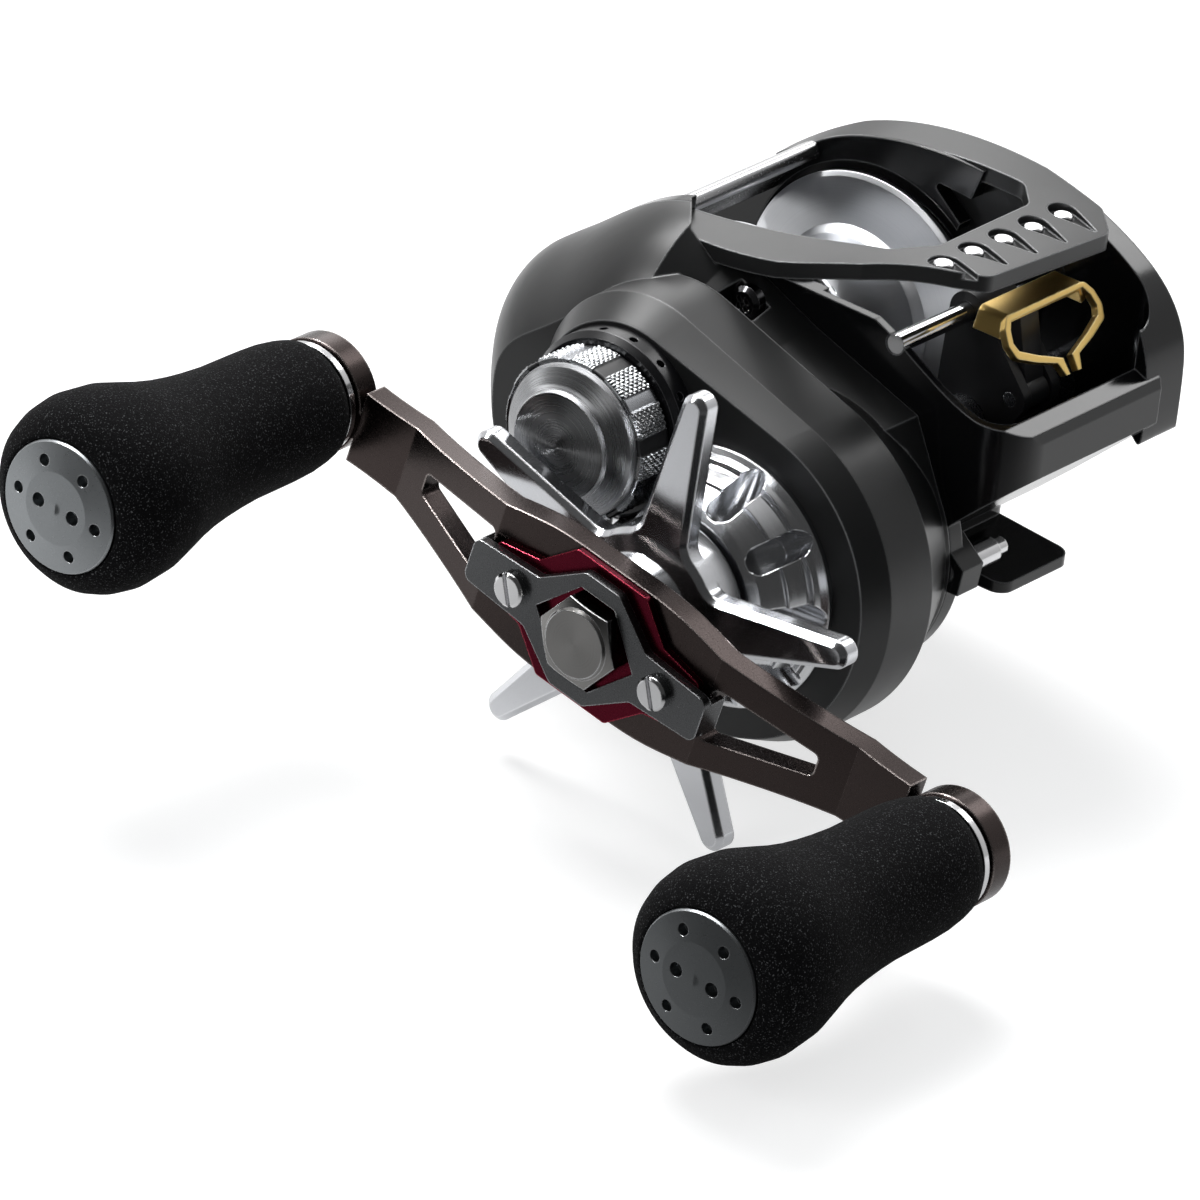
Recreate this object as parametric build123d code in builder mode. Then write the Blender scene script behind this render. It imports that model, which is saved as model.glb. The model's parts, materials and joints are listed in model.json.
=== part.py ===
"""Low-profile baitcasting reel, right-handed, as an assembly of separate pieces.

Millimetres. +Z is up off the rod, -Y is towards the rod tip (the line guide's end) and -X is the
handle side. The origin is on the underside of the reel foot, straight below the spool axis.
Every shaft in the reel lies along X, so a place on a side view is written as (y, z).
"""
import os
from math import atan2, cos, degrees, hypot, radians, sin, sqrt

from build123d import *

os.makedirs("parts", exist_ok=True)

# ---------------------------------------------------------------- driving dimensions
SPOOL_HEIGHT = 18.0        # spool axis above the foot's underside
FLANGE_R = 17.5            # spool flange radius
SPOOL_WIDTH = 24.4         # over both flanges
ARBOR_R = 10.6             # where the line is wound
DRIVE_AHEAD = 17.5         # handle axis ahead of the spool axis
DRIVE_BELOW = 13.8         # handle axis below the spool axis
DRIVE_TEETH = 66
PINION_TEETH = 9
HANDLE_SPAN = 100.0        # knob axis to knob axis
HANDLE_TILT = 12.0         # front arm's dip below level, degrees
ARM_STANDOFF = 24.3        # outer face of the arm's hub beyond the gear cover's end face
ARM_CRANK = 5.4            # how far the arm's ends step back towards the reel
ARM_T = 3.2
KNOB_LENGTH = 45.0
KNOB_R = 12.3              # fattest part of the grip
CAP_R = 8.2
STAR_TIP_R = 29.8
STAR_ARMS = 5
DRAG_RING_R = 15.6
DRAG_RING_SLOTS = 10
DRUM_R = 22.0              # gear-side drum about the handle axis
NECK_R = 18.0              # the drum's narrower root against the frame
FOOT_WIDTH = 14.0
FOOT_FRONT = 38.0          # foot's front tip ahead of the spool axis
FOOT_REAR = 20.0
REAR_REACH = 31.3          # back of the side plates behind the spool axis
PALM_REACH = 25.0          # back of the palm side behind the spool axis
NOSE_REACH = 42.0          # front lip ahead of the spool axis
WORM_AHEAD = 25.0
WORM_BELOW = 1.6
GUIDE_TRAVEL = 5.4         # line guide's travel to each side of its middle
GUIDE_REST = 1.2           # where the guide stands at rest, past that middle

# ---------------------------------------------------------------- fits and walls
GAP = 0.3                  # between pieces that move past each other
RUN = 0.05                 # radial running clearance of a shaft in its bore
SEAT = 0.02                # radial gap of a part pressed or slid into a seat
WALL_T = 2.4               # frame's side walls
SHELL_T = 1.6              # side covers

# ---------------------------------------------------------------- axes, as (y, z)
SPOOL = (0.0, SPOOL_HEIGHT)
DRIVE = (-DRIVE_AHEAD, SPOOL_HEIGHT - DRIVE_BELOW)
WORM = (-WORM_AHEAD, SPOOL_HEIGHT - WORM_BELOW)
CENTRES = hypot(DRIVE_AHEAD, DRIVE_BELOW)
DRIVE_ANGLE = degrees(atan2(DRIVE[1] - SPOOL[1], DRIVE[0] - SPOOL[0]))   # spool to drive
TILT = radians(HANDLE_TILT)
FRONT_KNOB = (DRIVE[0] - HANDLE_SPAN / 2 * cos(TILT), DRIVE[1] - HANDLE_SPAN / 2 * sin(TILT))
REAR_KNOB = (DRIVE[0] + HANDLE_SPAN / 2 * cos(TILT), DRIVE[1] + HANDLE_SPAN / 2 * sin(TILT))

# ---------------------------------------------------------------- stations along X
GEAR_IN = -(SPOOL_WIDTH / 2 + 0.4)          # inner face of the gear-side wall
GEAR_OUT = GEAR_IN - WALL_T
PALM_IN = SPOOL_WIDTH / 2 + 0.6
PALM_OUT = PALM_IN + WALL_T
COVER_RIM = GEAR_OUT - 0.1
DRUM_X = GEAR_OUT - 9.0                      # where the drum reaches its full radius
BAND_X = GEAR_OUT - 17.0                     # foot of the sloping band round the end face
END_X = GEAR_OUT - 21.0                      # gear cover's flat end face
CAP_X = END_X - 12.0                         # flat of the cast-control cap
ARM_FACE_X = END_X - ARM_STANDOFF
ARM_BACK_X = ARM_FACE_X + ARM_T
KNOB_X = ARM_FACE_X + ARM_CRANK - 1.8       # inner end of the knobs
PALM_BEARING_X = (PALM_OUT + 5.0, PALM_OUT + 7.2)
POCKET_GEAR_X = GEAR_IN - 1.2               # mouth's walls are cut back for the line guide
POCKET_PALM_X = PALM_OUT + 2.0
GUIDE_MID_X = (POCKET_GEAR_X + POCKET_PALM_X) / 2
GUIDE_REST_X = GUIDE_MID_X + GUIDE_REST


def side(x):
    """Side-view plane at x: local x is Y, local y is Z, extrudes towards +X."""
    return Plane(origin=(x, 0, 0), x_dir=(0, 1, 0), z_dir=(1, 0, 0))


def at(axis, angle, radius):
    """Point on a circle about an (y, z) axis; 0 degrees is towards +Y, 90 is up."""
    return (axis[0] + radius * cos(radians(angle)), axis[1] + radius * sin(radians(angle)))


def shaft_line(axis):
    return Axis((0, axis[0], axis[1]), (1, 0, 0))


def turned(axis, outline, mode=Mode.ADD):
    """Turn a closed outline of (x, radius) points about the shaft line through axis."""
    plane = Plane(origin=(0, axis[0], axis[1]), x_dir=(1, 0, 0), z_dir=(0, -1, 0))
    with BuildSketch(plane) as section:
        with BuildLine():
            Polyline(*outline, close=True)
        make_face()
    revolve(section.sketch, axis=shaft_line(axis), mode=mode)


def tube(axis, x0, x1, radius, bore=0.0, mode=Mode.ADD):
    """A plain ring or rod between two X stations."""
    turned(axis, [(x0, bore), (x1, bore), (x1, radius), (x0, radius)], mode)


def save(piece, node):
    """Label a finished piece and write it as its own STEP file."""
    piece.part.label = node
    export_step(piece.part, f"parts/{node}.step")


def hull_outline(a, ra, b, rb):
    """The convex outline round two circles about side-view axes a and b."""
    with BuildSketch(side(0)) as outline:
        with Locations(a):
            Circle(ra)
        with Locations(b):
            Circle(rb)
        make_hull()
    return outline.sketch


def shifted(sketch, x):
    """The same side-view sketch moved to another X station."""
    return sketch.moved(Location((x, 0, 0)))


# ================================================================ gears
MODULE = 2 * CENTRES / (DRIVE_TEETH + PINION_TEETH)
COG_MODULE = 0.6
COG_TEETH = (30, 16, 14)                    # handle shaft, idler, worm shaft
TIP, ROOT = 0.25, 0.58                      # tooth thickness at tip and root, in pitches


def gear_face(axis, teeth, module, phase, x):
    """Spur gear outline at station x, with one tooth's middle at the given angle."""
    pitch_r = module * teeth / 2
    step = 360 / teeth
    levels = ((pitch_r - 1.1 * module, ROOT), (pitch_r + 0.8 * module, TIP))
    points = []
    for k in range(teeth):
        middle = phase + k * step
        points += [at(axis, middle - step * share / 2, radius) for radius, share in levels]
        points += [at(axis, middle + step * share / 2, radius) for radius, share in reversed(levels)]
    with BuildSketch(side(x)) as face:
        with BuildLine():
            Polyline(*points, close=True)
        make_face()
    return face.sketch


def meshing_phase(a, teeth_a, phase_a, b, teeth_b):
    """Tooth angle that puts gear b in mesh with gear a."""
    line = degrees(atan2(b[1] - a[1], b[0] - a[0]))
    past_tooth = ((line - phase_a) * teeth_a / 360) % 1
    return line + 180 - (0.5 - past_tooth) * 360 / teeth_b


PINION_PHASE = meshing_phase(DRIVE, DRIVE_TEETH, 0, SPOOL, PINION_TEETH)
cog_r = [COG_MODULE * n / 2 for n in COG_TEETH]
reach_a = cog_r[0] + cog_r[1]
reach_b = cog_r[1] + cog_r[2]
worm_span = hypot(WORM[0] - DRIVE[0], WORM[1] - DRIVE[1])
along = (worm_span**2 + reach_a**2 - reach_b**2) / (2 * worm_span)
aside = sqrt(reach_a**2 - along**2)
unit = ((WORM[0] - DRIVE[0]) / worm_span, (WORM[1] - DRIVE[1]) / worm_span)
IDLER = (DRIVE[0] + along * unit[0] + aside * unit[1], DRIVE[1] + along * unit[1] - aside * unit[0])
IDLER_PHASE = meshing_phase(DRIVE, COG_TEETH[0], 0, IDLER, COG_TEETH[1])
WORM_PHASE = meshing_phase(IDLER, COG_TEETH[1], IDLER_PHASE, WORM, COG_TEETH[2])

GEAR_X = (GEAR_OUT - 14.4, GEAR_OUT - 11.4) # drive gear's two faces
COG_X = (GEAR_OUT - 2.9, GEAR_OUT - 1.6)    # level-wind cogs' faces
SET_PLATE_X = (GEAR_OUT - 1.3, GEAR_OUT - 0.2)
PINION_X = (GEAR_OUT - 18.4, GEAR_OUT - 3.3)
YOKE_X = (GEAR_OUT - 8.6, GEAR_OUT - 7.2)
YOKE_TRAVEL = 2.0


# ================================================================ side outlines
def gear_side_outline():
    """The gear cover's outline: drum below, sweeping up and back to the palm rest."""
    drum_front = at(DRIVE, 148, NECK_R)
    drum_rear = at(DRIVE, -52, NECK_R)
    top = (5.5, SPOOL_HEIGHT + FLANGE_R + 2.1)
    rear = (REAR_REACH, SPOOL_HEIGHT - 2)
    with BuildSketch(side(0)) as outline:
        with BuildLine():
            drum = ThreePointArc(drum_front, at(DRIVE, -130, NECK_R), drum_rear)
            low = Spline(drum_rear, (REAR_REACH - 4.5, SPOOL_HEIGHT - 16), rear,
                         tangents=[drum % 1, (0, 1)])
            Spline(rear, (REAR_REACH - 7.9, SPOOL_HEIGHT + 9.8), top,
                   tangents=[(0, 1), (-1, 0.1)])
            Polyline(top, (0, SPOOL_HEIGHT + 15.5), (-11.7, SPOOL_HEIGHT + 10.4),
                     (-28, SPOOL_HEIGHT + 4.8), drum_front)
        make_face()
    return outline.sketch


def palm_side_outline():
    """The palm side's outline: one long low curve from the nose over the spool to the palm rest."""
    nose = (-NOSE_REACH + 0.6, SPOOL_HEIGHT + 5)
    rear = (PALM_REACH, SPOOL_HEIGHT - 4)
    with BuildSketch(side(0)) as outline:
        with BuildLine():
            Spline(nose, (-32, SPOOL_HEIGHT + 18), (-12, SPOOL_HEIGHT + 23.4), (3, SPOOL_HEIGHT + 21.6),
                   (13.5, SPOOL_HEIGHT + 15.6), (20.5, SPOOL_HEIGHT + 7.8), rear,
                   tangents=[(0.1, 1), (0, -1)])
            Spline(rear, (18.5, SPOOL_HEIGHT - 17), (8, SPOOL_HEIGHT - 21), (-8, SPOOL_HEIGHT - 20.4),
                   (-22, SPOOL_HEIGHT - 14.6), (-31, SPOOL_HEIGHT - 8.4), (-39.4, SPOOL_HEIGHT - 1), nose,
                   tangents=[(0, -1), (0.1, 1)])
        make_face()
    return outline.sketch


GEAR_OUTLINE = gear_side_outline()
PALM_OUTLINE = palm_side_outline()
END_HULL = hull_outline(SPOOL, 12.1, DRIVE, DRUM_R - 1.5)
BAND_HULL = hull_outline(SPOOL, 14.6, DRIVE, DRUM_R)


# ================================================================ front hood
# The hood is a shell over the line guide with two arms running back beside the spool; it is a band
# lofted between the gear side's lower line and the palm side's higher one, cut to its plan.
HOOD_T = 2.2
HOOD_SEAT = 0.15                            # under the hood, where it lies on the side plates
HOOD_FRONT = 32.6
HOOD_GEAR_X = GEAR_OUT - 4.4
HOOD_PALM_X = PALM_OUT + 3.6
WINDOW_FRONT = 23.2                         # front edge of the spool window
RIVET_Y = -26.6
RIVET_PITCH = 6.0
RIVETS = 5


def hood_profile(x, line, lift, fit):
    """A strip of the hood's thickness below the given top line, as a face at station x."""
    with BuildSketch(side(x)) as strip:
        with BuildLine():
            top = Spline(*[(y, SPOOL_HEIGHT + z + lift) for y, z in line])
            under = Spline(*[(y, SPOOL_HEIGHT + z - HOOD_T - fit) for y, z in line])
            Line(top @ 0, under @ 0)
            Line(top @ 1, under @ 1)
        make_face()
    return strip.sketch


def hood_plan():
    """Plan of the hood: a front bar and two arms round the spool window."""
    with BuildSketch(Plane.XY) as plan:
        with BuildLine():
            Polyline((GEAR_IN - 1, 9.5), (HOOD_GEAR_X, 5), (HOOD_GEAR_X, -8), (GEAR_OUT - 2.6, -19),
                     (GEAR_IN - 0.8, -29.4), (GEAR_IN + 1.6, -HOOD_FRONT), (PALM_IN + 0.7, -HOOD_FRONT),
                     (PALM_OUT + 2.2, -28.6), (HOOD_PALM_X, -19), (HOOD_PALM_X, 8), (PALM_OUT + 1.2, 17.2),
                     (PALM_IN + 0.6, 17.2), (PALM_IN + 0.6, -19.6), (PALM_IN - 3.2, -WINDOW_FRONT),
                     (GEAR_IN + 4.2, -WINDOW_FRONT), (GEAR_IN + 0.1, -19.2), (GEAR_IN + 0.1, 9.5),
                     close=True)
        make_face()
        fillet(plan.vertices().filter_by(lambda v: v.Y < 0), radius=2.0)
    return plan.sketch


RIVET_R = 1.3
RIVET_DEEP = 1.6
RECESS_T = 0.7


def rivet_spot(k):
    """A rivet's place along the hood's front bar, and the height of the bar's top there."""
    x = (k - (RIVETS - 1) / 2) * RIVET_PITCH
    return x, SPOOL_HEIGHT + 23.15 - 0.035 * x


def hood_shape(lift=0.0, fit=0.0):
    """The hood's solid, or with a lift the room that it takes up in the pieces below it."""
    gear_line = [(10, 17.6), (0, 17.4), (-9, 18.9), (-19, 21.9), (-34, 24.0)]
    palm_line = [(18, 13.4), (8, 20.2), (-10, 24.2), (-22, 23.6), (-34, 21.2)]
    with BuildPart() as shape:
        loft([hood_profile(HOOD_GEAR_X - 0.5, gear_line, lift, fit),
              hood_profile(HOOD_PALM_X + 0.5, palm_line, lift, fit)])
        extrude(hood_plan(), amount=80, mode=Mode.INTERSECT)
    return shape.part


HOOD_ROOM = hood_shape(12.0, HOOD_SEAT)
with BuildPart() as front_hood:
    add(hood_shape())
    # teardrop recesses that the rivets sit in
    for k in range(RIVETS):
        x, z = rivet_spot(k)
        with BuildSketch(Plane.XY.offset(z - RECESS_T)):
            with Locations((x, RIVET_Y)):
                Circle(RIVET_R + 0.65)
            with Locations((x, RIVET_Y - 4.6)):
                Circle(0.35)
            make_hull()
        extrude(amount=5, mode=Mode.SUBTRACT)
        with BuildSketch(Plane.XY.offset(z - RIVET_DEEP)):
            with Locations((x, RIVET_Y)):
                Circle(RIVET_R + SEAT)
        extrude(amount=5, mode=Mode.SUBTRACT)
save(front_hood, "front_hood")


# ================================================================ main frame
RING_R = FLANGE_R + 0.8                     # spool bore in the frame
LINE_ROOM_R = FLANGE_R - 1.2                # room for the line between the flanges, over the foot
FOOT_T = 1.5
NOSE_X = PALM_OUT + 5.4                     # outer face of the nose on the palm side
ROD = (1.7 - WORM_AHEAD, SPOOL_HEIGHT + 12.3)         # guide rod
ROD_R = 1.25
WORM_TUBE_R = 3.3
DRIVE_SHAFT_R = 3.0
PINION_BEARING_R = 4.6
DRIVE_BEARING_R = DRIVE_SHAFT_R + 1.5
TIE_PIN = (-34.8, SPOOL_HEIGHT - 13.4)
THUMB_R = (FLANGE_R + 1.5, FLANGE_R + 3.8)
THUMB_ANGLES = (28, 60)
THUMB_TRAVEL = 4.5
THUMB_MID = sum(THUMB_ANGLES) / 2
THUMB_AXIS = (0, sin(radians(THUMB_MID)), -cos(radians(THUMB_MID)))


def rel(points):
    """Points given from the spool axis, as (y, z) in the reel's frame."""
    return [(y, SPOOL_HEIGHT + z) for y, z in points]


def nose_outline(x):
    """Side view of the frame ahead of and below the spool: lip, chin, foot neck and rear deck."""
    with BuildSketch(side(x)) as outline:
        with BuildLine():
            mouth = Spline(*rel([(-20, 14.4), (-26.5, 11.2), (-33, 8.0), (-NOSE_REACH + 2.6, 6.7)]))
            Polyline(mouth @ 1, *rel([(-NOSE_REACH + 0.4, 5.8), (-NOSE_REACH, 4.4), (-NOSE_REACH, -0.2),
                                      (-NOSE_REACH + 1.6, -1.7), (-31, -10.8), (-26.5, -15)]),
                     (-22, FOOT_T), (17, FOOT_T), (19.4, 7), (18.5, SPOOL_HEIGHT), (0, SPOOL_HEIGHT + 14.6),
                     mouth @ 0)
        make_face()
    return outline.sketch


def mouth_cavity(x):
    """Side view of the space that the line guide works in."""
    with BuildSketch(side(x)) as cavity:
        with BuildLine():
            Polyline(*rel([(-NOSE_REACH + 2.8, 40), (-NOSE_REACH + 2.8, 4.8), (-37, -0.8), (-31, -5.4),
                           (-22.5, -7.6), (-14, -3), (-10, 10), (-19, 40)]), close=True)
        make_face()
    return cavity.sketch


def nose_plan():
    """Plan of the lip: rounded towards the gear side, nearly square where the palm cover meets it."""
    with BuildSketch(Plane.XY) as plan:
        with Locations(((GEAR_OUT + NOSE_X) / 2, 30 - NOSE_REACH)):
            Rectangle(NOSE_X - GEAR_OUT, 60)
        fillet(plan.vertices().group_by(Axis.Y)[0].sort_by(Axis.X)[0], radius=6.5)
        fillet(plan.vertices().group_by(Axis.Y)[0].sort_by(Axis.X)[-1], radius=1.5)
    return plan.sketch


def spool_hole(x, radius):
    with BuildSketch(side(x)) as hole:
        with Locations(SPOOL):
            Circle(radius)
    return hole.sketch


def nose_zone(x):
    """Everything ahead of the spool, as a side-view region."""
    with BuildSketch(side(x)) as zone:
        with Locations((-60, SPOOL_HEIGHT)):
            Rectangle(2 * (60 - 21), 120)
    return zone.sketch


COVER_SCREW_R = 1.1
COVER_SCREWS = [(-4.2, SPOOL_HEIGHT + 11.8), (4.0, SPOOL_HEIGHT - 24.5)]
RECESS_X = (DRUM_X + 0.2, END_X)            # where each screw's recess opens
TAB_X = GEAR_OUT - 2.4                      # outer end of the thumb bar's tab
TAB_R = THUMB_R[0] + 0.3
TAB_T = 2.1
TAB_LONG = 3.0


def tab_slot(x):
    """Side view of the room that the thumb bar's tab sweeps, with clearance."""
    start = at(SPOOL, THUMB_MID, TAB_R)
    with BuildSketch(side(x)) as slot:
        middle = (start[0] + THUMB_AXIS[1] * THUMB_TRAVEL / 2, start[1] + THUMB_AXIS[2] * THUMB_TRAVEL / 2)
        with Locations(Location((*middle, 0), THUMB_MID)):
            Rectangle(TAB_T + 0.8, TAB_LONG + 1.0 + THUMB_TRAVEL)
    return slot.sketch


with BuildPart() as foot:
    with BuildSketch(Plane.YZ) as foot_profile:
        with BuildLine():
            Polyline((-FOOT_FRONT, 0), (FOOT_REAR, 0), (FOOT_REAR, 1.0), (FOOT_REAR - 8, FOOT_T + 0.5),
                     (9, FOOT_T), (-9, FOOT_T), (-24, FOOT_T + 1), (-FOOT_FRONT, 1.4), close=True)
        make_face()
    extrude(amount=FOOT_WIDTH / 2, both=True)
    fillet(foot.edges().filter_by(Axis.Z), radius=2.0)

with BuildPart() as nose:
    extrude(nose_outline(GEAR_OUT), amount=PALM_OUT - GEAR_OUT)
    extrude(shifted(PALM_OUTLINE, PALM_OUT) & nose_zone(PALM_OUT), amount=NOSE_X - PALM_OUT)
    extrude(nose_plan(), amount=80, both=True, mode=Mode.INTERSECT)

with BuildPart() as mouth:
    extrude(mouth_cavity(POCKET_GEAR_X), amount=POCKET_PALM_X - POCKET_GEAR_X)
    fillet(mouth.edges().filter_by(Axis.Z).group_by(Axis.Y)[0], radius=4.0)

with BuildPart() as main_frame:
    extrude(shifted(GEAR_OUTLINE, GEAR_OUT), amount=WALL_T)
    extrude(shifted(PALM_OUTLINE, PALM_IN), amount=WALL_T)
    add(nose)
    # the spool's room, and the line guide's
    extrude(spool_hole(GEAR_IN, RING_R), amount=PALM_OUT - GEAR_IN, mode=Mode.SUBTRACT)
    add(mouth, mode=Mode.SUBTRACT)
    # behind and above the spool the deck is open between the walls
    with BuildSketch(Plane.XY.offset(SPOOL_HEIGHT - 7)) as thumb_room:
        with Locations(((GEAR_IN + PALM_IN) / 2, 4.5)):
            Rectangle(PALM_IN - GEAR_IN, 51)
    extrude(amount=60, mode=Mode.SUBTRACT)
    # triangular window in the palm wall between the spool ring and the hood's arm
    with BuildSketch(side(PALM_IN)) as window:
        with BuildLine():
            Polyline(*rel([(-6.2, 19.6), (-17.6, 18.8), (-12.6, 14.6)]), close=True)
        make_face()
        fillet(window.vertices(), radius=0.6)
    extrude(amount=WALL_T, mode=Mode.SUBTRACT)
    # foot: a long plate whose ends thin down, rounded in plan
    add(foot)
    # side bosses that the foot blends into
    with BuildSketch(Plane.XY) as neck:
        with Locations((0, -20)):
            RectangleRounded(FOOT_WIDTH + 4, 14, 3)
    extrude(amount=SPOOL_HEIGHT - 12)
    extrude(spool_hole(GEAR_IN, LINE_ROOM_R), amount=PALM_IN - GEAR_IN, mode=Mode.SUBTRACT)
    # lug for the front tie pin, at the root of the chin
    with BuildSketch(side(GEAR_OUT)) as lug:
        with BuildLine():
            Polyline((-31, SPOOL_HEIGHT - 9), (-34, SPOOL_HEIGHT - 9.6), (TIE_PIN[0] - 2.6, TIE_PIN[1] + 1),
                     (TIE_PIN[0] - 2.2, TIE_PIN[1] - 2.4), (-30, 2.2), (-26, 2.2), close=True)
        make_face()
    extrude(amount=4.0)
    tube(TIE_PIN, GEAR_OUT - 1, GEAR_OUT + 5, 1.2 + SEAT, mode=Mode.SUBTRACT)
    # seats for shafts and bearings
    tube(SPOOL, GEAR_OUT - 1, GEAR_IN + 1, PINION_BEARING_R + SEAT, mode=Mode.SUBTRACT)
    tube(DRIVE, GEAR_OUT - 1, GEAR_IN + 1, DRIVE_BEARING_R + SEAT, mode=Mode.SUBTRACT)
    tube(WORM, GEAR_OUT - 1, GEAR_IN + 1, WORM_TUBE_R + SEAT, mode=Mode.SUBTRACT)
    tube(WORM, PALM_IN - 1, POCKET_PALM_X + 2.2, WORM_TUBE_R + SEAT, mode=Mode.SUBTRACT)
    tube(ROD, GEAR_OUT - 1, POCKET_PALM_X + 2, ROD_R + SEAT, mode=Mode.SUBTRACT)
    # slot that lets the thumb bar's tab through to the clutch, and the cover screws' holes
    extrude(tab_slot(GEAR_OUT), amount=WALL_T, mode=Mode.SUBTRACT)
    for spot in COVER_SCREWS:
        tube(spot, GEAR_OUT - 1, GEAR_OUT + 1.4, COVER_SCREW_R + SEAT, mode=Mode.SUBTRACT)
    add(HOOD_ROOM, mode=Mode.SUBTRACT)
save(main_frame, "main_frame")


# ================================================================ gear-side cover
COLLAR_R = 7.6                              # threaded neck for the cast-control cap
NECK_END = END_X - 5.4
CLUTCH_R = 7.0                              # one-way clutch in its tube
CLUTCH_TUBE_R = 8.6
CLUTCH_TUBE_END = END_X - 8.4
SPOOL_BEARING_R = 5.0
CAM_X = (SET_PLATE_X[0] - 1.5, SET_PLATE_X[0] - 0.3)
CAM_TURN = 14.0
LEVER_ANGLE = THUMB_MID - 9.4               # just ahead of the thumb bar's tab
LEVER_R = TAB_R + 0.4
DOME = ((COVER_RIM, 1.0), (GEAR_OUT - 4.5, 0.97), (GEAR_OUT - 10.0, 0.885), (GEAR_OUT - 14.6, 0.76))
DOME_CENTRE = (2.0, SPOOL_HEIGHT - 4)


def dome_sections(inset=0.0, shift=0.0):
    """The cover's outline at each station of its dome, shrunk about the dome's middle."""
    sections = []
    for x, share in DOME:
        face = scale(GEAR_OUTLINE.moved(Location((0, -DOME_CENTRE[0], -DOME_CENTRE[1]))), by=share - inset)
        sections.append(face.moved(Location((x + shift, DOME_CENTRE[0], DOME_CENTRE[1]))))
    return sections


def lever_room():
    """Sector that the clutch cam's lever swings in, with clearance."""
    first = LEVER_ANGLE + 6
    last = LEVER_ANGLE - CAM_TURN - 6
    with BuildSketch(side(CAM_X[0] - GAP)) as room:
        with BuildLine():
            stations = (first, (first + last) / 2, last)
            rim = ThreePointArc(*[at(SPOOL, angle, LEVER_R + GAP) for angle in stations])
            Polyline(rim @ 0, SPOOL, rim @ 1)
        make_face()
    return room.sketch


# the cover's hollow, which leaves a boss round each screw
SCREW_RECESS_R = 2.7
with BuildPart() as gear_hollow:
    loft(dome_sections(0.075, 1.7))
    turned(DRIVE, [(0, 0), (0, NECK_R - 2), (GEAR_OUT - 2, NECK_R - 2), (DRUM_X - 1, DRUM_R - SHELL_T),
                   (BAND_X, DRUM_R - SHELL_T), (END_X + 2, DRUM_R - 3), (END_X + 2, 0)])
    tube(SPOOL, 0, END_X + 2, 11.0)
    for spot in COVER_SCREWS:
        tube(spot, END_X, COVER_RIM - 1.5, SCREW_RECESS_R + 0.6, mode=Mode.SUBTRACT)

with BuildPart() as gear_side_cover:
    loft(dome_sections())
    turned(DRIVE, [(GEAR_OUT - 1, 0), (GEAR_OUT - 1, NECK_R), (DRUM_X, DRUM_R), (BAND_X, DRUM_R),
                   (BAND_X, 0)])
    extrude(shifted(BAND_HULL, BAND_X), amount=8)
    loft([shifted(BAND_HULL, BAND_X), shifted(END_HULL, END_X)], ruled=True)
    add(gear_hollow, mode=Mode.SUBTRACT)
    # neck for the cast-control cap, with the spool bearing's seat inside
    tube(SPOOL, NECK_END, END_X + 2, COLLAR_R)
    tube(SPOOL, NECK_END + 0.8, 0, SPOOL_BEARING_R + SEAT, mode=Mode.SUBTRACT)
    tube(SPOOL, NECK_END - 1, 0, 3.6, mode=Mode.SUBTRACT)
    # tube that holds the one-way clutch
    tube(DRIVE, CLUTCH_TUBE_END, END_X + 4, CLUTCH_TUBE_R)
    tube(DRIVE, CLUTCH_TUBE_END - 1, 0, CLUTCH_R + SEAT, mode=Mode.SUBTRACT)
    # countersunk recesses for the cover screws
    for spot, opening in zip(COVER_SCREWS, RECESS_X):
        tube(spot, opening, COVER_RIM - 3.0, SCREW_RECESS_R, mode=Mode.SUBTRACT)
        tube(spot, COVER_RIM - 3.0, 0, COVER_SCREW_R + SEAT, mode=Mode.SUBTRACT)
    # room for the level-wind cogs, the clutch lever and the thumb bar's tab
    extrude(lever_room(), amount=20, mode=Mode.SUBTRACT)
    tube(WORM, COG_X[0] - 1.2, 0, 5.0, mode=Mode.SUBTRACT)
    tube(IDLER, COG_X[0] - 1.2, 0, 5.7, mode=Mode.SUBTRACT)
    extrude(tab_slot(TAB_X - GAP), amount=20, mode=Mode.SUBTRACT)
    add(HOOD_ROOM, mode=Mode.SUBTRACT)
save(gear_side_cover, "gear_side_cover")

with BuildPart() as gear_cover_screws:
    for spot in COVER_SCREWS:
        tube(spot, GEAR_OUT + 1.2, COVER_RIM - 3.0, COVER_SCREW_R)
        turned(spot, [(COVER_RIM - 3.0, 0), (COVER_RIM - 3.0, 2.1), (COVER_RIM - 4.2, 2.1),
                      (COVER_RIM - 4.7, 1.5), (COVER_RIM - 4.7, 0)])
        with BuildSketch(side(COVER_RIM - 4.7)) as clover:
            for k in range(4):
                with Locations(at(spot, 45 + k * 90, 0.7)):
                    Circle(0.5)
        extrude(amount=0.7, mode=Mode.SUBTRACT)
save(gear_cover_screws, "gear_cover_screws")


# ================================================================ slotted drag ring and cap collar
COLLAR_OUT_R = 11.6
DRAG_RING_X = (END_X + 1.5, END_X - 9.2)
DRAG_RING_TOP_R = 10.7


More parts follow.
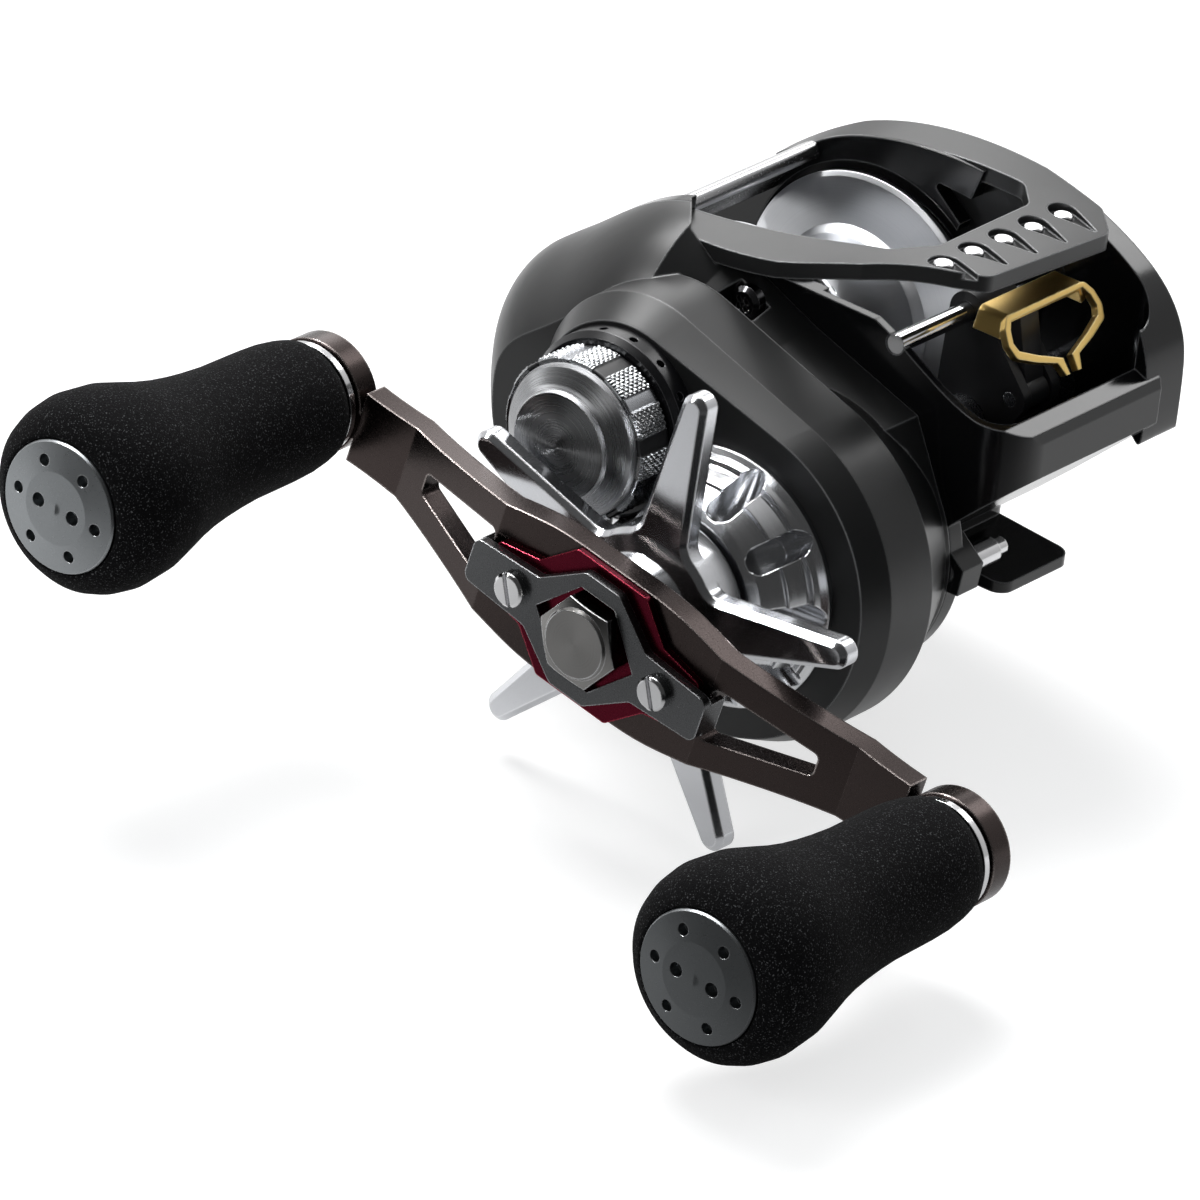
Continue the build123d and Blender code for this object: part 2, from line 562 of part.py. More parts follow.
with BuildPart() as drag_ring:
    outer, inner = DRAG_RING_X
    slope = (DRAG_RING_R - DRAG_RING_TOP_R) / (outer - inner)
    turned(DRIVE, [(END_X, CLUTCH_TUBE_R + SEAT), (END_X, DRAG_RING_R + 0.8),
                   (END_X - 0.8, DRAG_RING_R + 0.8), (END_X - 1.4, DRAG_RING_R),
                   (END_X - 2.2, DRAG_RING_R - 0.3), (END_X - 2.2, DRAG_RING_R - 1.1),
                   (END_X - 5.0, DRAG_RING_R - 1.9), (END_X - 5.0, DRAG_RING_R - 2.4),
                   (END_X - 8.0, DRAG_RING_TOP_R + 1.1), (inner + 0.5, DRAG_RING_TOP_R),
                   (inner + 0.5, CLUTCH_TUBE_R + SEAT)])
    # oval slots cut in along the cone
    tilt = degrees(atan2(DRAG_RING_R - DRAG_RING_TOP_R, outer - inner))
    for k in range(DRAG_RING_SLOTS):
        angle = 105 + k * 360 / DRAG_RING_SLOTS
        y, z = at(DRIVE, angle, DRAG_RING_R + 1)
        out = (0, cos(radians(angle)), sin(radians(angle)))
        slot_plane = Plane(origin=(END_X - 4.6, y, z), x_dir=(1, 0, 0), z_dir=out)
        with BuildSketch(slot_plane) as slot:
            SlotOverall(7.4, 3.4)
        extrude(amount=-5.2, mode=Mode.SUBTRACT)
    # scalloped where the cast control stands beside it
    tube(SPOOL, END_X - 12, END_X + 2, COLLAR_OUT_R + GAP, mode=Mode.SUBTRACT)
save(drag_ring, "drag_ring")

COLLAR_END = END_X - 3.4
with BuildPart() as cap_collar:
    turned(SPOOL, [(END_X, COLLAR_R + SEAT), (END_X, COLLAR_OUT_R), (COLLAR_END + 0.8, COLLAR_OUT_R),
                   (COLLAR_END, COLLAR_OUT_R - 0.7), (COLLAR_END, COLLAR_R + SEAT)])
    for k in range(16):
        y, z = at(SPOOL, k * 360 / 16 + 8, COLLAR_OUT_R)
        out = (0, cos(radians(k * 22.5 + 8)), sin(radians(k * 22.5 + 8)))
        with BuildSketch(Plane(origin=(END_X - 1.6, y, z), x_dir=(1, 0, 0), z_dir=out)):
            Circle(0.55)
        extrude(amount=-0.8, mode=Mode.SUBTRACT)
save(cap_collar, "cap_collar")


# ================================================================ cast control
KNURL_R = 10.5
with BuildPart() as cast_control_cap:
    turned(SPOOL, [(COLLAR_END - GAP, COLLAR_R + RUN), (COLLAR_END - GAP, KNURL_R - 0.9),
                   (CAP_X + 2.8, KNURL_R - 0.9), (CAP_X + 2.2, 9.2), (CAP_X + 0.9, 7.4), (CAP_X + 0.5, 6.9),
                   (CAP_X, 6.64), (CAP_X - 0.5, 0), (NECK_END - 1.2, 0), (NECK_END - 1.2, COLLAR_R + RUN)])
save(cast_control_cap, "cast_control_cap")

with BuildPart() as cap_grip_ring:
    turned(SPOOL, [(COLLAR_END - GAP, KNURL_R - 0.9), (COLLAR_END - GAP, KNURL_R - 0.3),
                   (COLLAR_END - GAP - 0.5, KNURL_R), (CAP_X + 3.2, KNURL_R), (CAP_X + 2.8, KNURL_R - 0.4),
                   (CAP_X + 2.8, KNURL_R - 0.9)])
save(cap_grip_ring, "cap_grip_ring")

with BuildPart() as cap_friction_disc:
    tube(SPOOL, NECK_END - 1.1, NECK_END - 0.4, 3.2)
save(cap_friction_disc, "cap_friction_disc")


# ================================================================ spool group
SPOOL_SHAFT_R = 1.5
CROSS_PIN_X = GEAR_OUT + 0.8
SPOOL_SHAFT_X = (NECK_END - 0.2, PALM_BEARING_X[1] + 0.2)
FLANGE_T = 1.4
SPOOL_END = SPOOL_WIDTH / 2
with BuildPart() as spool:
    turned(SPOOL, [(-SPOOL_END, 4.0), (-SPOOL_END, 6), (-SPOOL_END + 1.0, ARBOR_R - 2),
                   (-SPOOL_END + 0.4, FLANGE_R - 1.6), (-SPOOL_END, FLANGE_R - 1.4),
                   (-SPOOL_END, FLANGE_R - 0.3), (-SPOOL_END + 0.3, FLANGE_R),
                   (-SPOOL_END + FLANGE_T - 0.4, FLANGE_R), (-SPOOL_END + FLANGE_T, FLANGE_R - 0.6),
                   (-SPOOL_END + FLANGE_T + 1.6, ARBOR_R + 0.8), (-SPOOL_END + FLANGE_T + 3, ARBOR_R),
                   (SPOOL_END - FLANGE_T - 3, ARBOR_R), (SPOOL_END - FLANGE_T - 1.6, ARBOR_R + 0.8),
                   (SPOOL_END - FLANGE_T, FLANGE_R - 0.6), (SPOOL_END - FLANGE_T + 0.4, FLANGE_R),
                   (SPOOL_END - 0.3, FLANGE_R), (SPOOL_END, FLANGE_R - 0.3), (SPOOL_END, FLANGE_R - 1.4),
                   (SPOOL_END - 0.4, FLANGE_R - 1.6), (SPOOL_END - 2.6, ARBOR_R - 0.9),
                   (-SPOOL_END + 3, ARBOR_R - 0.9), (-SPOOL_END + 3, 4.0)])
    tube(SPOOL, 0, 6, ARBOR_R - 0.5, SPOOL_SHAFT_R + SEAT)
    tube(SPOOL, -SPOOL_END, -SPOOL_END + 3, 4.2, SPOOL_SHAFT_R + SEAT)
    # row of line holes round the arbor
    for k in range(12):
        y, z = at(SPOOL, k * 30, ARBOR_R - 2)
        out = (0, cos(radians(k * 30)), sin(radians(k * 30)))
        with BuildSketch(Plane(origin=(-4, y, z), x_dir=(1, 0, 0), z_dir=out)):
            Circle(1.1)
        extrude(amount=3, mode=Mode.SUBTRACT)
save(spool, "spool")

with BuildPart() as spool_shaft:
    tube(SPOOL, *SPOOL_SHAFT_X, SPOOL_SHAFT_R)
    # cross pin that the pinion's slot drives
    with BuildSketch(Plane(origin=(CROSS_PIN_X, SPOOL[0], SPOOL[1] - 2.6))):
        Circle(0.6)
    extrude(amount=5.2)
save(spool_shaft, "spool_shaft")

ROTOR_R = 9.0
with BuildPart() as brake_rotor:
    turned(SPOOL, [(PALM_IN - 6.6, SPOOL_SHAFT_R + SEAT), (PALM_IN - 6.6, 4), (PALM_IN - 3, ROTOR_R - 2),
                   (PALM_IN - 1.6, ROTOR_R), (PALM_OUT + 2.6, ROTOR_R), (PALM_OUT + 2.6, ROTOR_R - 0.6),
                   (PALM_IN - 1, ROTOR_R - 0.8), (PALM_IN - 5.4, 3.4), (PALM_IN - 5.4, SPOOL_SHAFT_R + SEAT)])
save(brake_rotor, "brake_rotor")


# ================================================================ pinion and clutch
PINION_NECK_R = 1.9
with BuildPart() as pinion_gear:
    toothed = gear_face(SPOOL, PINION_TEETH, MODULE, PINION_PHASE, PINION_X[0])
    extrude(toothed, amount=PINION_X[1] - PINION_X[0])
    # groove for the yoke and a plain journal at each end
    tube(SPOOL, YOKE_X[0] - GAP, YOKE_X[1] + GAP, 5, PINION_NECK_R, mode=Mode.SUBTRACT)
    tube(SPOOL, PINION_X[1], CROSS_PIN_X + 1.2, 2.9)
    tube(SPOOL, PINION_X[0] - 3, PINION_X[1] + 9, SPOOL_SHAFT_R + RUN, mode=Mode.SUBTRACT)
    # slot across the inner end that drops over the spool shaft's cross pin
    slot_plane = Plane(origin=(CROSS_PIN_X + 1.2, *SPOOL), x_dir=(0, 1, 0), z_dir=(-1, 0, 0))
    with BuildSketch(slot_plane):
        Rectangle(1.4, 8)
    extrude(amount=1.9, mode=Mode.SUBTRACT)
save(pinion_gear, "pinion_gear")

POST_SPREAD = 7.4
POST_R = 1.1
ACROSS = DRIVE_ANGLE + 90
POSTS = [at(SPOOL, ACROSS, POST_SPREAD), at(SPOOL, ACROSS + 180, POST_SPREAD)]
IDLER_STUD_R = 1.0
with BuildPart() as gear_set_plate:
    plate = hull_outline(SPOOL, POST_SPREAD + POST_R + 0.3, DRIVE, 13.0)
    extrude(shifted(plate, SET_PLATE_X[0]), amount=SET_PLATE_X[1] - SET_PLATE_X[0])
    tube(SPOOL, SET_PLATE_X[0], SET_PLATE_X[1], 3.4, mode=Mode.SUBTRACT)
    tube(DRIVE, SET_PLATE_X[0], SET_PLATE_X[1], DRIVE_SHAFT_R + 1.4, mode=Mode.SUBTRACT)
    tube(WORM, SET_PLATE_X[0], SET_PLATE_X[1], 5.4, mode=Mode.SUBTRACT)
    for post in POSTS:
        tube(post, YOKE_X[0] - 6.4, SET_PLATE_X[1], POST_R)
        tube(post, YOKE_X[0] - 6.9, YOKE_X[0] - 6.3, POST_R + 0.9)
    tube(IDLER, COG_X[0] - 0.6, SET_PLATE_X[1], IDLER_STUD_R)
save(gear_set_plate, "gear_set_plate")

with BuildPart() as clutch_yoke:
    with BuildSketch(side(YOKE_X[0])) as yoke:
        for post in POSTS:
            with Locations(post):
                Circle(2.4)
        with Locations(SPOOL):
            Circle(3.6)
        make_hull()
        for post in POSTS:
            with Locations(post):
                Circle(POST_R + RUN, mode=Mode.SUBTRACT)
        # fork that straddles the pinion's groove, open on the side away from the drive gear
        with Locations(SPOOL):
            Circle(PINION_NECK_R + 0.15, mode=Mode.SUBTRACT)
        with Locations(Location((*at(SPOOL, DRIVE_ANGLE + 180, 3), 0), DRIVE_ANGLE)):
            Rectangle(6, 2 * PINION_NECK_R + 0.3, mode=Mode.SUBTRACT)
    extrude(amount=YOKE_X[1] - YOKE_X[0])
save(clutch_yoke, "clutch_yoke")

SPRING_X = (YOKE_X[0] - 6.2, YOKE_X[0] - YOKE_TRAVEL - GAP)   # at their pressed length
with BuildPart() as yoke_springs:
    for post in POSTS:
        tube(post, SPRING_X[0], SPRING_X[1], POST_R + 0.8, POST_R + 0.25)
save(yoke_springs, "yoke_springs")

CAM_R = POST_SPREAD - POST_R - 0.4
with BuildPart() as clutch_cam:
    tube(SPOOL, *CAM_X, CAM_R, 4.4)
    # two ramps, ahead of the yoke's ends
    for lead in (0, 180):
        with BuildSketch(side(CAM_X[0])) as ramp:
            with Locations(Location((*at(SPOOL, ACROSS + lead - 40, 5.5), 0), ACROSS + lead - 40)):
                Rectangle(1.8, 3.0)
        extrude(amount=YOKE_X[1] + GAP - CAM_X[0])
    # lever out to the thumb bar's tab
    with BuildSketch(side(CAM_X[0])) as lever:
        with Locations(Location((*at(SPOOL, LEVER_ANGLE, (5 + LEVER_R) / 2), 0), LEVER_ANGLE)):
            RectangleRounded(LEVER_R - 5, 2.4, 0.8)
    extrude(amount=CAM_X[1] - CAM_X[0])
save(clutch_cam, "clutch_cam")

with BuildPart() as thumb_bar:
    with BuildSketch(side(GEAR_IN + GAP)) as bar:
        with BuildLine():
            low, high = THUMB_ANGLES
            mid = sum(THUMB_ANGLES) / 2
            outer_arc = ThreePointArc(at(SPOOL, low, THUMB_R[1]), at(SPOOL, mid, THUMB_R[1]),
                                      at(SPOOL, high, THUMB_R[1]))
            inner_arc = ThreePointArc(at(SPOOL, low, THUMB_R[0]), at(SPOOL, mid, THUMB_R[0]),
                                      at(SPOOL, high, THUMB_R[0]))
            Line(outer_arc @ 0, inner_arc @ 0)
            Line(outer_arc @ 1, inner_arc @ 1)
        make_face()
    extrude(amount=PALM_IN - GEAR_IN - 2 * GAP)
    fillet(thumb_bar.edges().filter_by(Axis.X), radius=0.9)
    # tab through the frame's slot
    with BuildSketch(side(GEAR_IN + GAP + 0.5)) as tab:
        with Locations(Location((*at(SPOOL, THUMB_MID, TAB_R), 0), THUMB_MID)):
            Rectangle(TAB_T, TAB_LONG)
    extrude(amount=-(WALL_T + 2.6))
save(thumb_bar, "thumb_bar")


# ================================================================ drive train
NUT_AF = 10.0
SHAFT_FLAT = DRIVE_SHAFT_R - 0.5             # shaft axis to each of its two flats
NUT_X = (ARM_FACE_X - 4.3, ARM_FACE_X - 0.9)
with BuildPart() as drive_shaft:
    tube(DRIVE, GEAR_IN - 0.2, ARM_FACE_X - 2.6, DRIVE_SHAFT_R)
    tube(DRIVE, COG_X[1] + 0.1, COG_X[1] + 0.9, DRIVE_SHAFT_R + 1.0)
    # two flats that the handle arm sits on
    with BuildSketch(side(ARM_BACK_X)) as keyed:
        with Locations(DRIVE):
            Circle(DRIVE_SHAFT_R + 1)
            Rectangle(4 * DRIVE_SHAFT_R, 2 * SHAFT_FLAT, mode=Mode.SUBTRACT)
    extrude(amount=-ARM_T, mode=Mode.SUBTRACT)
save(drive_shaft, "drive_shaft")

DRAG_DISC_R = 13.0
with BuildPart() as drive_gear:
    extrude(gear_face(DRIVE, DRIVE_TEETH, MODULE, 0, GEAR_X[0]), amount=GEAR_X[1] - GEAR_X[0])
    tube(DRIVE, GEAR_X[0], GEAR_X[0] + 1.6, DRAG_DISC_R + 0.6, mode=Mode.SUBTRACT)
    tube(DRIVE, GEAR_X[0], GEAR_X[1], DRIVE_SHAFT_R + SEAT, mode=Mode.SUBTRACT)
    # lightening holes through the web
    with BuildSketch(side(GEAR_X[0])) as holes:
        for k in range(6):
            with Locations(at(DRIVE, 30 + k * 60, 8.6)):
                Circle(2.0)
    extrude(amount=GEAR_X[1] - GEAR_X[0], mode=Mode.SUBTRACT)
save(drive_gear, "drive_gear")

DISC_T = 0.7
with BuildPart() as drag_washers:
    for k in (0, 2):
        x = GEAR_X[0] + 1.5 - k * DISC_T
        tube(DRIVE, x - DISC_T + 0.05, x - 0.05, DRAG_DISC_R, DRIVE_SHAFT_R + 0.4)
save(drag_washers, "drag_washers")

with BuildPart() as pressure_washer:
    x = GEAR_X[0] + 1.5 - DISC_T
    tube(DRIVE, x - DISC_T, x, DRAG_DISC_R - 1.2, DRIVE_SHAFT_R + 0.1)
    tube(DRIVE, GEAR_X[0] - 2.4, GEAR_X[0] - 0.65, DRAG_DISC_R - 1.6, DRIVE_SHAFT_R + 0.1)
save(pressure_washer, "pressure_washer")

RATCHET_TEETH = 12
with BuildPart() as ratchet:
    with BuildSketch(side(COG_X[1] - 5.6)) as wheel:
        with BuildLine():
            points = []
            for k in range(RATCHET_TEETH):
                start = k * 360 / RATCHET_TEETH
                points += [at(DRIVE, start, 8.8), at(DRIVE, start + 3, 11.0), at(DRIVE, start + 16, 10.0)]
            Polyline(*points, close=True)
        make_face()
        with Locations(DRIVE):
            Circle(DRIVE_SHAFT_R + SEAT, mode=Mode.SUBTRACT)
    extrude(amount=1.2)
save(ratchet, "ratchet")

SLEEVE_R = DRIVE_SHAFT_R + 1.0
with BuildPart() as clutch_sleeve:
    tube(DRIVE, GEAR_X[0] - 2.6, CLUTCH_TUBE_END - 0.6, SLEEVE_R, DRIVE_SHAFT_R + SEAT)
save(clutch_sleeve, "clutch_sleeve")

with BuildPart() as one_way_clutch:
    tube(DRIVE, END_X + 0.4, CLUTCH_TUBE_END + 0.6, CLUTCH_R, SLEEVE_R + RUN)
save(one_way_clutch, "one_way_clutch")

names = ("shaft_cog", "idler_cog", "worm_cog")
places = (DRIVE, IDLER, WORM)
phases = (0, IDLER_PHASE, WORM_PHASE)
bores = (DRIVE_SHAFT_R + SEAT, IDLER_STUD_R + RUN, 1.5 + SEAT)
for name, place, phase, bore, teeth in zip(names, places, phases, bores, COG_TEETH):
    with BuildPart() as cog:
        extrude(gear_face(place, teeth, COG_MODULE, phase, COG_X[0]), amount=COG_X[1] - COG_X[0])
        tube(place, *COG_X, bore, mode=Mode.SUBTRACT)
    save(cog, name)


# ================================================================ star drag
STAR_HUB_R = 10.4
STAR_X = (DRAG_RING_X[1] - GAP, END_X - 16.4)
STAR_ARM_X = (END_X - 12.9, END_X - 15.6)
STAR_PHASE = 97.0
STAR_FILLET = 2.6                           # hollow curve between two arms
with BuildPart() as star_drag:
    with BuildSketch(side(STAR_ARM_X[0])) as star:
        with Locations(DRIVE):
            Circle(STAR_HUB_R)
        for k in range(STAR_ARMS):
            angle = STAR_PHASE + k * 360 / STAR_ARMS
            with BuildSketch(side(STAR_ARM_X[0])) as arm:
                with Locations(at(DRIVE, angle, STAR_HUB_R - 2)):
                    Circle(3.7)
                with Locations(at(DRIVE, angle, STAR_TIP_R - 1.8)):
                    Circle(1.8)
                make_hull()
            add(arm)
        roots = [v for v in star.vertices() if hypot(v.X - DRIVE[0], v.Y - DRIVE[1]) < STAR_HUB_R + 0.5]
        fillet(roots, radius=STAR_FILLET)
    extrude(amount=STAR_ARM_X[1] - STAR_ARM_X[0])
    chamfer(star_drag.faces().sort_by(Axis.X)[0].edges(), length=0.7)
    turned(DRIVE, [(STAR_X[0] - 0.2, DRIVE_SHAFT_R + RUN), (STAR_X[0] - 0.2, STAR_HUB_R),
                   (STAR_ARM_X[1] + 0.7, STAR_HUB_R), (STAR_ARM_X[1], STAR_HUB_R - 0.7), (STAR_X[1], 7.6),
                   (ARM_BACK_X + 1.4, 6.4), (ARM_BACK_X + 1.4, DRIVE_SHAFT_R + RUN)])
    tube(DRIVE, STAR_X[0], ARM_BACK_X, DRIVE_SHAFT_R + RUN, mode=Mode.SUBTRACT)
save(star_drag, "star_drag")


# ================================================================ handle
END_R = 7.2
SPINDLE_R = 2.0


def arm_frame(x):
    """Plane across the handle: local x runs along the arm to the front knob, local y is up."""
    return Plane(origin=(x, DRIVE[0], DRIVE[1]), x_dir=(0, -cos(TILT), -sin(TILT)), z_dir=(-1, 0, 0))


ARM_HALF = HANDLE_SPAN / 2
CRANK_FROM = 17.0
CRANK_TO = 35.0
HUB_HALF = 9.4
WINDOW_S = (17.2, 31.0)                     # the arm's lightening windows, from the hub
with BuildPart() as handle_arm:
    # edge view of the cranked strap, then trimmed to its outline
    across = Plane(origin=(0, DRIVE[0], DRIVE[1]), x_dir=(0, -cos(TILT), -sin(TILT)),
                   z_dir=(0, -sin(TILT), cos(TILT)))
    with BuildSketch(across) as strap:
        with BuildLine():
            steps = [(-ARM_HALF - 12, ARM_CRANK), (-CRANK_TO, ARM_CRANK), (-CRANK_FROM, 0), (CRANK_FROM, 0),
                     (CRANK_TO, ARM_CRANK), (ARM_HALF + 12, ARM_CRANK)]
            front = [(s, ARM_FACE_X + rise) for s, rise in steps]
            back = [(s, x + ARM_T) for s, x in reversed(front)]
            Polyline(*front, *back, close=True)
        make_face()
    extrude(amount=14, both=True)
    edge = [(0, HUB_HALF), (10, 9.1), (17, 7.7), (24, 6.4), (34, 5.1), (ARM_HALF - 7, 4.9)]
    with BuildSketch(arm_frame(ARM_FACE_X + 20)) as outline:
        with BuildLine():
            Spline(*[(-s, n) for s, n in reversed(edge)], *edge[1:])
            Spline(*[(-s, -n) for s, n in reversed(edge)], *[(s, -n) for s, n in edge[1:]])
            for way in (-1, 1):
                Line((way * edge[-1][0], edge[-1][1]), (way * edge[-1][0], -edge[-1][1]))
        make_face()
        with Locations((-ARM_HALF, 0), (ARM_HALF, 0)):
            Circle(END_R)
    extrude(amount=40, mode=Mode.INTERSECT)
    with BuildSketch(arm_frame(ARM_FACE_X + 20)) as windows:
        for way in (-1, 1):
            near, far = way * WINDOW_S[0], way * WINDOW_S[1]
            with BuildLine():
                Polyline((near, 3.8), (far, 1.5), (far, -1.5), (near, -3.8), close=True)
            make_face()
        fillet(windows.vertices(), radius=0.8)
    extrude(amount=40, mode=Mode.SUBTRACT)
    # hub bore with two flats, and the spindles' holes
    with BuildSketch(side(ARM_FACE_X - 1)) as bore:
        with Locations(DRIVE):
            Circle(DRIVE_SHAFT_R + SEAT)
            Rectangle(4 * DRIVE_SHAFT_R, 2 * (SHAFT_FLAT + SEAT), mode=Mode.INTERSECT)
    extrude(amount=ARM_T + 2, mode=Mode.SUBTRACT)
    for knob in (FRONT_KNOB, REAR_KNOB):
        tube(knob, ARM_FACE_X, ARM_FACE_X + 20, SPINDLE_R + SEAT, mode=Mode.SUBTRACT)
save(handle_arm, "handle_arm")

PLATE_T = 1.0
RETAINER_T = 1.3
SCREW_S = 11.3                              # retainer screws either side of the nut
with BuildPart() as handle_plate:
    with BuildSketch(arm_frame(ARM_FACE_X)) as plate:
        with BuildLine():
            half = [(15.8, 3.5), (9.8, 4.7), (5.4, 9.2)]
            upper = half + [(-s, n) for s, n in reversed(half)]
            Polyline(*upper, *[(s, -n) for s, n in reversed(upper)], close=True)
        make_face()
        fillet(plate.vertices(), radius=0.7)
        Circle(DRIVE_SHAFT_R + 0.1, mode=Mode.SUBTRACT)
        with Locations((-SCREW_S, 0), (SCREW_S, 0)):
            Circle(1.3, mode=Mode.SUBTRACT)
    extrude(amount=PLATE_T)
save(handle_plate, "handle_plate")

with BuildPart() as handle_retainer:
    with BuildSketch(arm_frame(ARM_FACE_X - PLATE_T)) as ring:
        with BuildLine():
            half = [(18.2, 2.9), (8.4, 3.5), (2.6, 8.1)]
            upper = half + [(-s, n) for s, n in reversed(half)]
            Polyline(*upper, *[(s, -n) for s, n in reversed(upper)], close=True)
        make_face()
        fillet(ring.vertices(), radius=1.2)
        with BuildLine():
            Polyline((7.6, 0), (2.6, 6.05), (-2.6, 6.05), (-7.6, 0), (-2.6, -6.05), (2.6, -6.05), close=True)
        make_face(mode=Mode.SUBTRACT)
        with Locations((-SCREW_S, 0), (SCREW_S, 0)):
            Circle(1.0 + SEAT, mode=Mode.SUBTRACT)
    extrude(amount=RETAINER_T)
    # ends hooked down into the arm's windows
    with BuildSketch(arm_frame(ARM_FACE_X - PLATE_T)) as hooks:
        for way in (-1, 1):
            with Locations((way * 17.8, 0)):
                Rectangle(0.8, 4.6)
    extrude(amount=-(PLATE_T + 1.6))
save(handle_retainer, "handle_retainer")

with BuildPart() as retainer_screws:
    for way in (-1, 1):
        spot = (DRIVE[0] - way * SCREW_S * cos(TILT), DRIVE[1] - way * SCREW_S * sin(TILT))
        x = ARM_FACE_X - PLATE_T - RETAINER_T
        turned(spot, [(x + 2.2, 0), (x + 2.2, 1.0), (x, 1.0), (x, 2.15), (x - 0.9, 2.15), (x - 1.2, 1.8),
                      (x - 1.2, 0)])
        slot_plane = Plane(origin=(x - 1.2, *spot), x_dir=(0, -cos(TILT), -sin(TILT)), z_dir=(-1, 0, 0))
        with BuildSketch(slot_plane):
            Rectangle(0.55, 6, rotation=30)
        extrude(amount=-0.6, mode=Mode.SUBTRACT)
save(retainer_screws, "retainer_screws")

with BuildPart() as handle_nut:
    with BuildSketch(arm_frame(NUT_X[1] - 0.1)) as hexagon:
        RegularPolygon(radius=NUT_AF / 2, side_count=6, major_radius=False, rotation=0)
    extrude(amount=NUT_X[1] - 0.1 - NUT_X[0])
    turned(DRIVE, [(NUT_X[1], 0), (NUT_X[1], 7), (NUT_X[0] + 1.1, 7), (NUT_X[0] + 0.4, 4.5), (NUT_X[0], 4.2),
                   (NUT_X[0], 0)], mode=Mode.INTERSECT)
    tube(DRIVE, NUT_X[1] + 1, ARM_FACE_X - 2.7, DRIVE_SHAFT_R + RUN, mode=Mode.SUBTRACT)
save(handle_nut, "handle_nut")


# ================================================================ knobs
ARM_END_X = ARM_FACE_X + ARM_CRANK          # outer face of the arm at its ends
CAP_RIM_X = KNOB_X - KNOB_LENGTH
CORE_R = 5.0
BEARING_R = 3.6
CAP_HOLES = 6
# grip radius at distances from the capped end, as shares of the length and of the fattest radius
GRIP = ((0.02, 0.74), (0.06, 0.92), (0.155, 1.0), (0.25, 0.965), (0.39, 0.83), (0.53, 0.735), (0.68, 0.69),
        (0.84, 0.69), (0.94, 0.655), (1.0, 0.6))

with BuildPart() as knob_spindles:
    for knob in (FRONT_KNOB, REAR_KNOB):
        turned(knob, [(ARM_END_X + ARM_T + 0.9, 0), (ARM_END_X + ARM_T + 0.9, 3.4), (ARM_END_X + ARM_T, 3.4),
                      (ARM_END_X + ARM_T, SPINDLE_R), (CAP_RIM_X + 4, SPINDLE_R), (CAP_RIM_X + 4, 2.9),
                      (CAP_RIM_X + 2.6, 2.9), (CAP_RIM_X + 2.6, 0)])
save(knob_spindles, "knob_spindles")

for which, knob in (("front", FRONT_KNOB), ("rear", REAR_KNOB)):
    with BuildPart() as grip:
        plane = Plane(origin=(0, *knob), x_dir=(1, 0, 0), z_dir=(0, -1, 0))
        with BuildSketch(plane) as section:
            with BuildLine():
                swell = Spline(*[(CAP_RIM_X + share * KNOB_LENGTH, r * KNOB_R) for share, r in GRIP])
                Polyline(swell @ 1, (KNOB_X, CORE_R + SEAT), (CAP_RIM_X + 1.9, CORE_R + SEAT),
                         (CAP_RIM_X + 1.9, CAP_R + SEAT), (CAP_RIM_X + 0.5, CAP_R + SEAT), swell @ 0)
            make_face()
        revolve(axis=shaft_line(knob))
    save(grip, f"{which}_knob_grip")

    with BuildPart() as core:
        turned(knob, [(KNOB_X, SPINDLE_R + 0.6), (KNOB_X, CORE_R), (CAP_RIM_X + 1.9, CORE_R),
                      (CAP_RIM_X + 1.9, BEARING_R + SEAT), (CAP_RIM_X + 6.6, BEARING_R + SEAT),
                      (CAP_RIM_X + 6.6, SPINDLE_R + 0.6)])
        tube(knob, KNOB_X - 2.6, KNOB_X + 1, BEARING_R + SEAT, mode=Mode.SUBTRACT)
    save(core, f"{which}_knob_core")

    with BuildPart() as bearings:
        tube(knob, KNOB_X - 2.6, KNOB_X - 0.1, BEARING_R, SPINDLE_R + RUN)
        tube(knob, CAP_RIM_X + 4.1, CAP_RIM_X + 6.6, BEARING_R, SPINDLE_R + RUN)
    save(bearings, f"{which}_knob_bearings")

    with BuildPart() as ring:
        turned(knob, [(KNOB_X + GAP, SPINDLE_R + 0.9), (KNOB_X + GAP, 7.0), (KNOB_X + 1.2, 7.0),
                      (KNOB_X + 1.6, 6.5), (KNOB_X + 1.6, SPINDLE_R + RUN), (KNOB_X + 0.1, SPINDLE_R + RUN),
                      (KNOB_X + 0.1, SPINDLE_R + 0.9)])
    save(ring, f"{which}_knob_ring")

    with BuildPart() as cap:
        turned(knob, [(CAP_RIM_X + 1.8, 0), (CAP_RIM_X + 1.8, CAP_R), (CAP_RIM_X + 0.3, CAP_R),
                      (CAP_RIM_X, CAP_R - 0.15), (CAP_RIM_X - 0.5, CAP_R * 0.55), (CAP_RIM_X - 0.6, 0)])
        with BuildSketch(side(CAP_RIM_X - 1)) as holes:
            for k in range(CAP_HOLES):
                with Locations(at(knob, 65 + k * 360 / CAP_HOLES, CAP_R * 0.72)):
                    Circle(0.75)
            with Locations(at(knob, 185, 2.6), at(knob, 5, 2.6)):
                Circle(0.9)
        extrude(amount=2.0, mode=Mode.SUBTRACT)
    save(cap, f"{which}_knob_cap")


# ================================================================ level wind and line guide
WORM_BORE = 2.35
WORM_R = 2.0
WORM_SHAFT_END = POCKET_PALM_X + 1.6
with BuildPart() as worm_shaft:
    tube(WORM, COG_X[0] - 0.8, GEAR_OUT + 1.9, 1.5)
    tube(WORM, GEAR_OUT + 1.9, WORM_SHAFT_END - 1.9, WORM_R)
    tube(WORM, WORM_SHAFT_END - 1.9, WORM_SHAFT_END, 1.5)
save(worm_shaft, "worm_shaft")

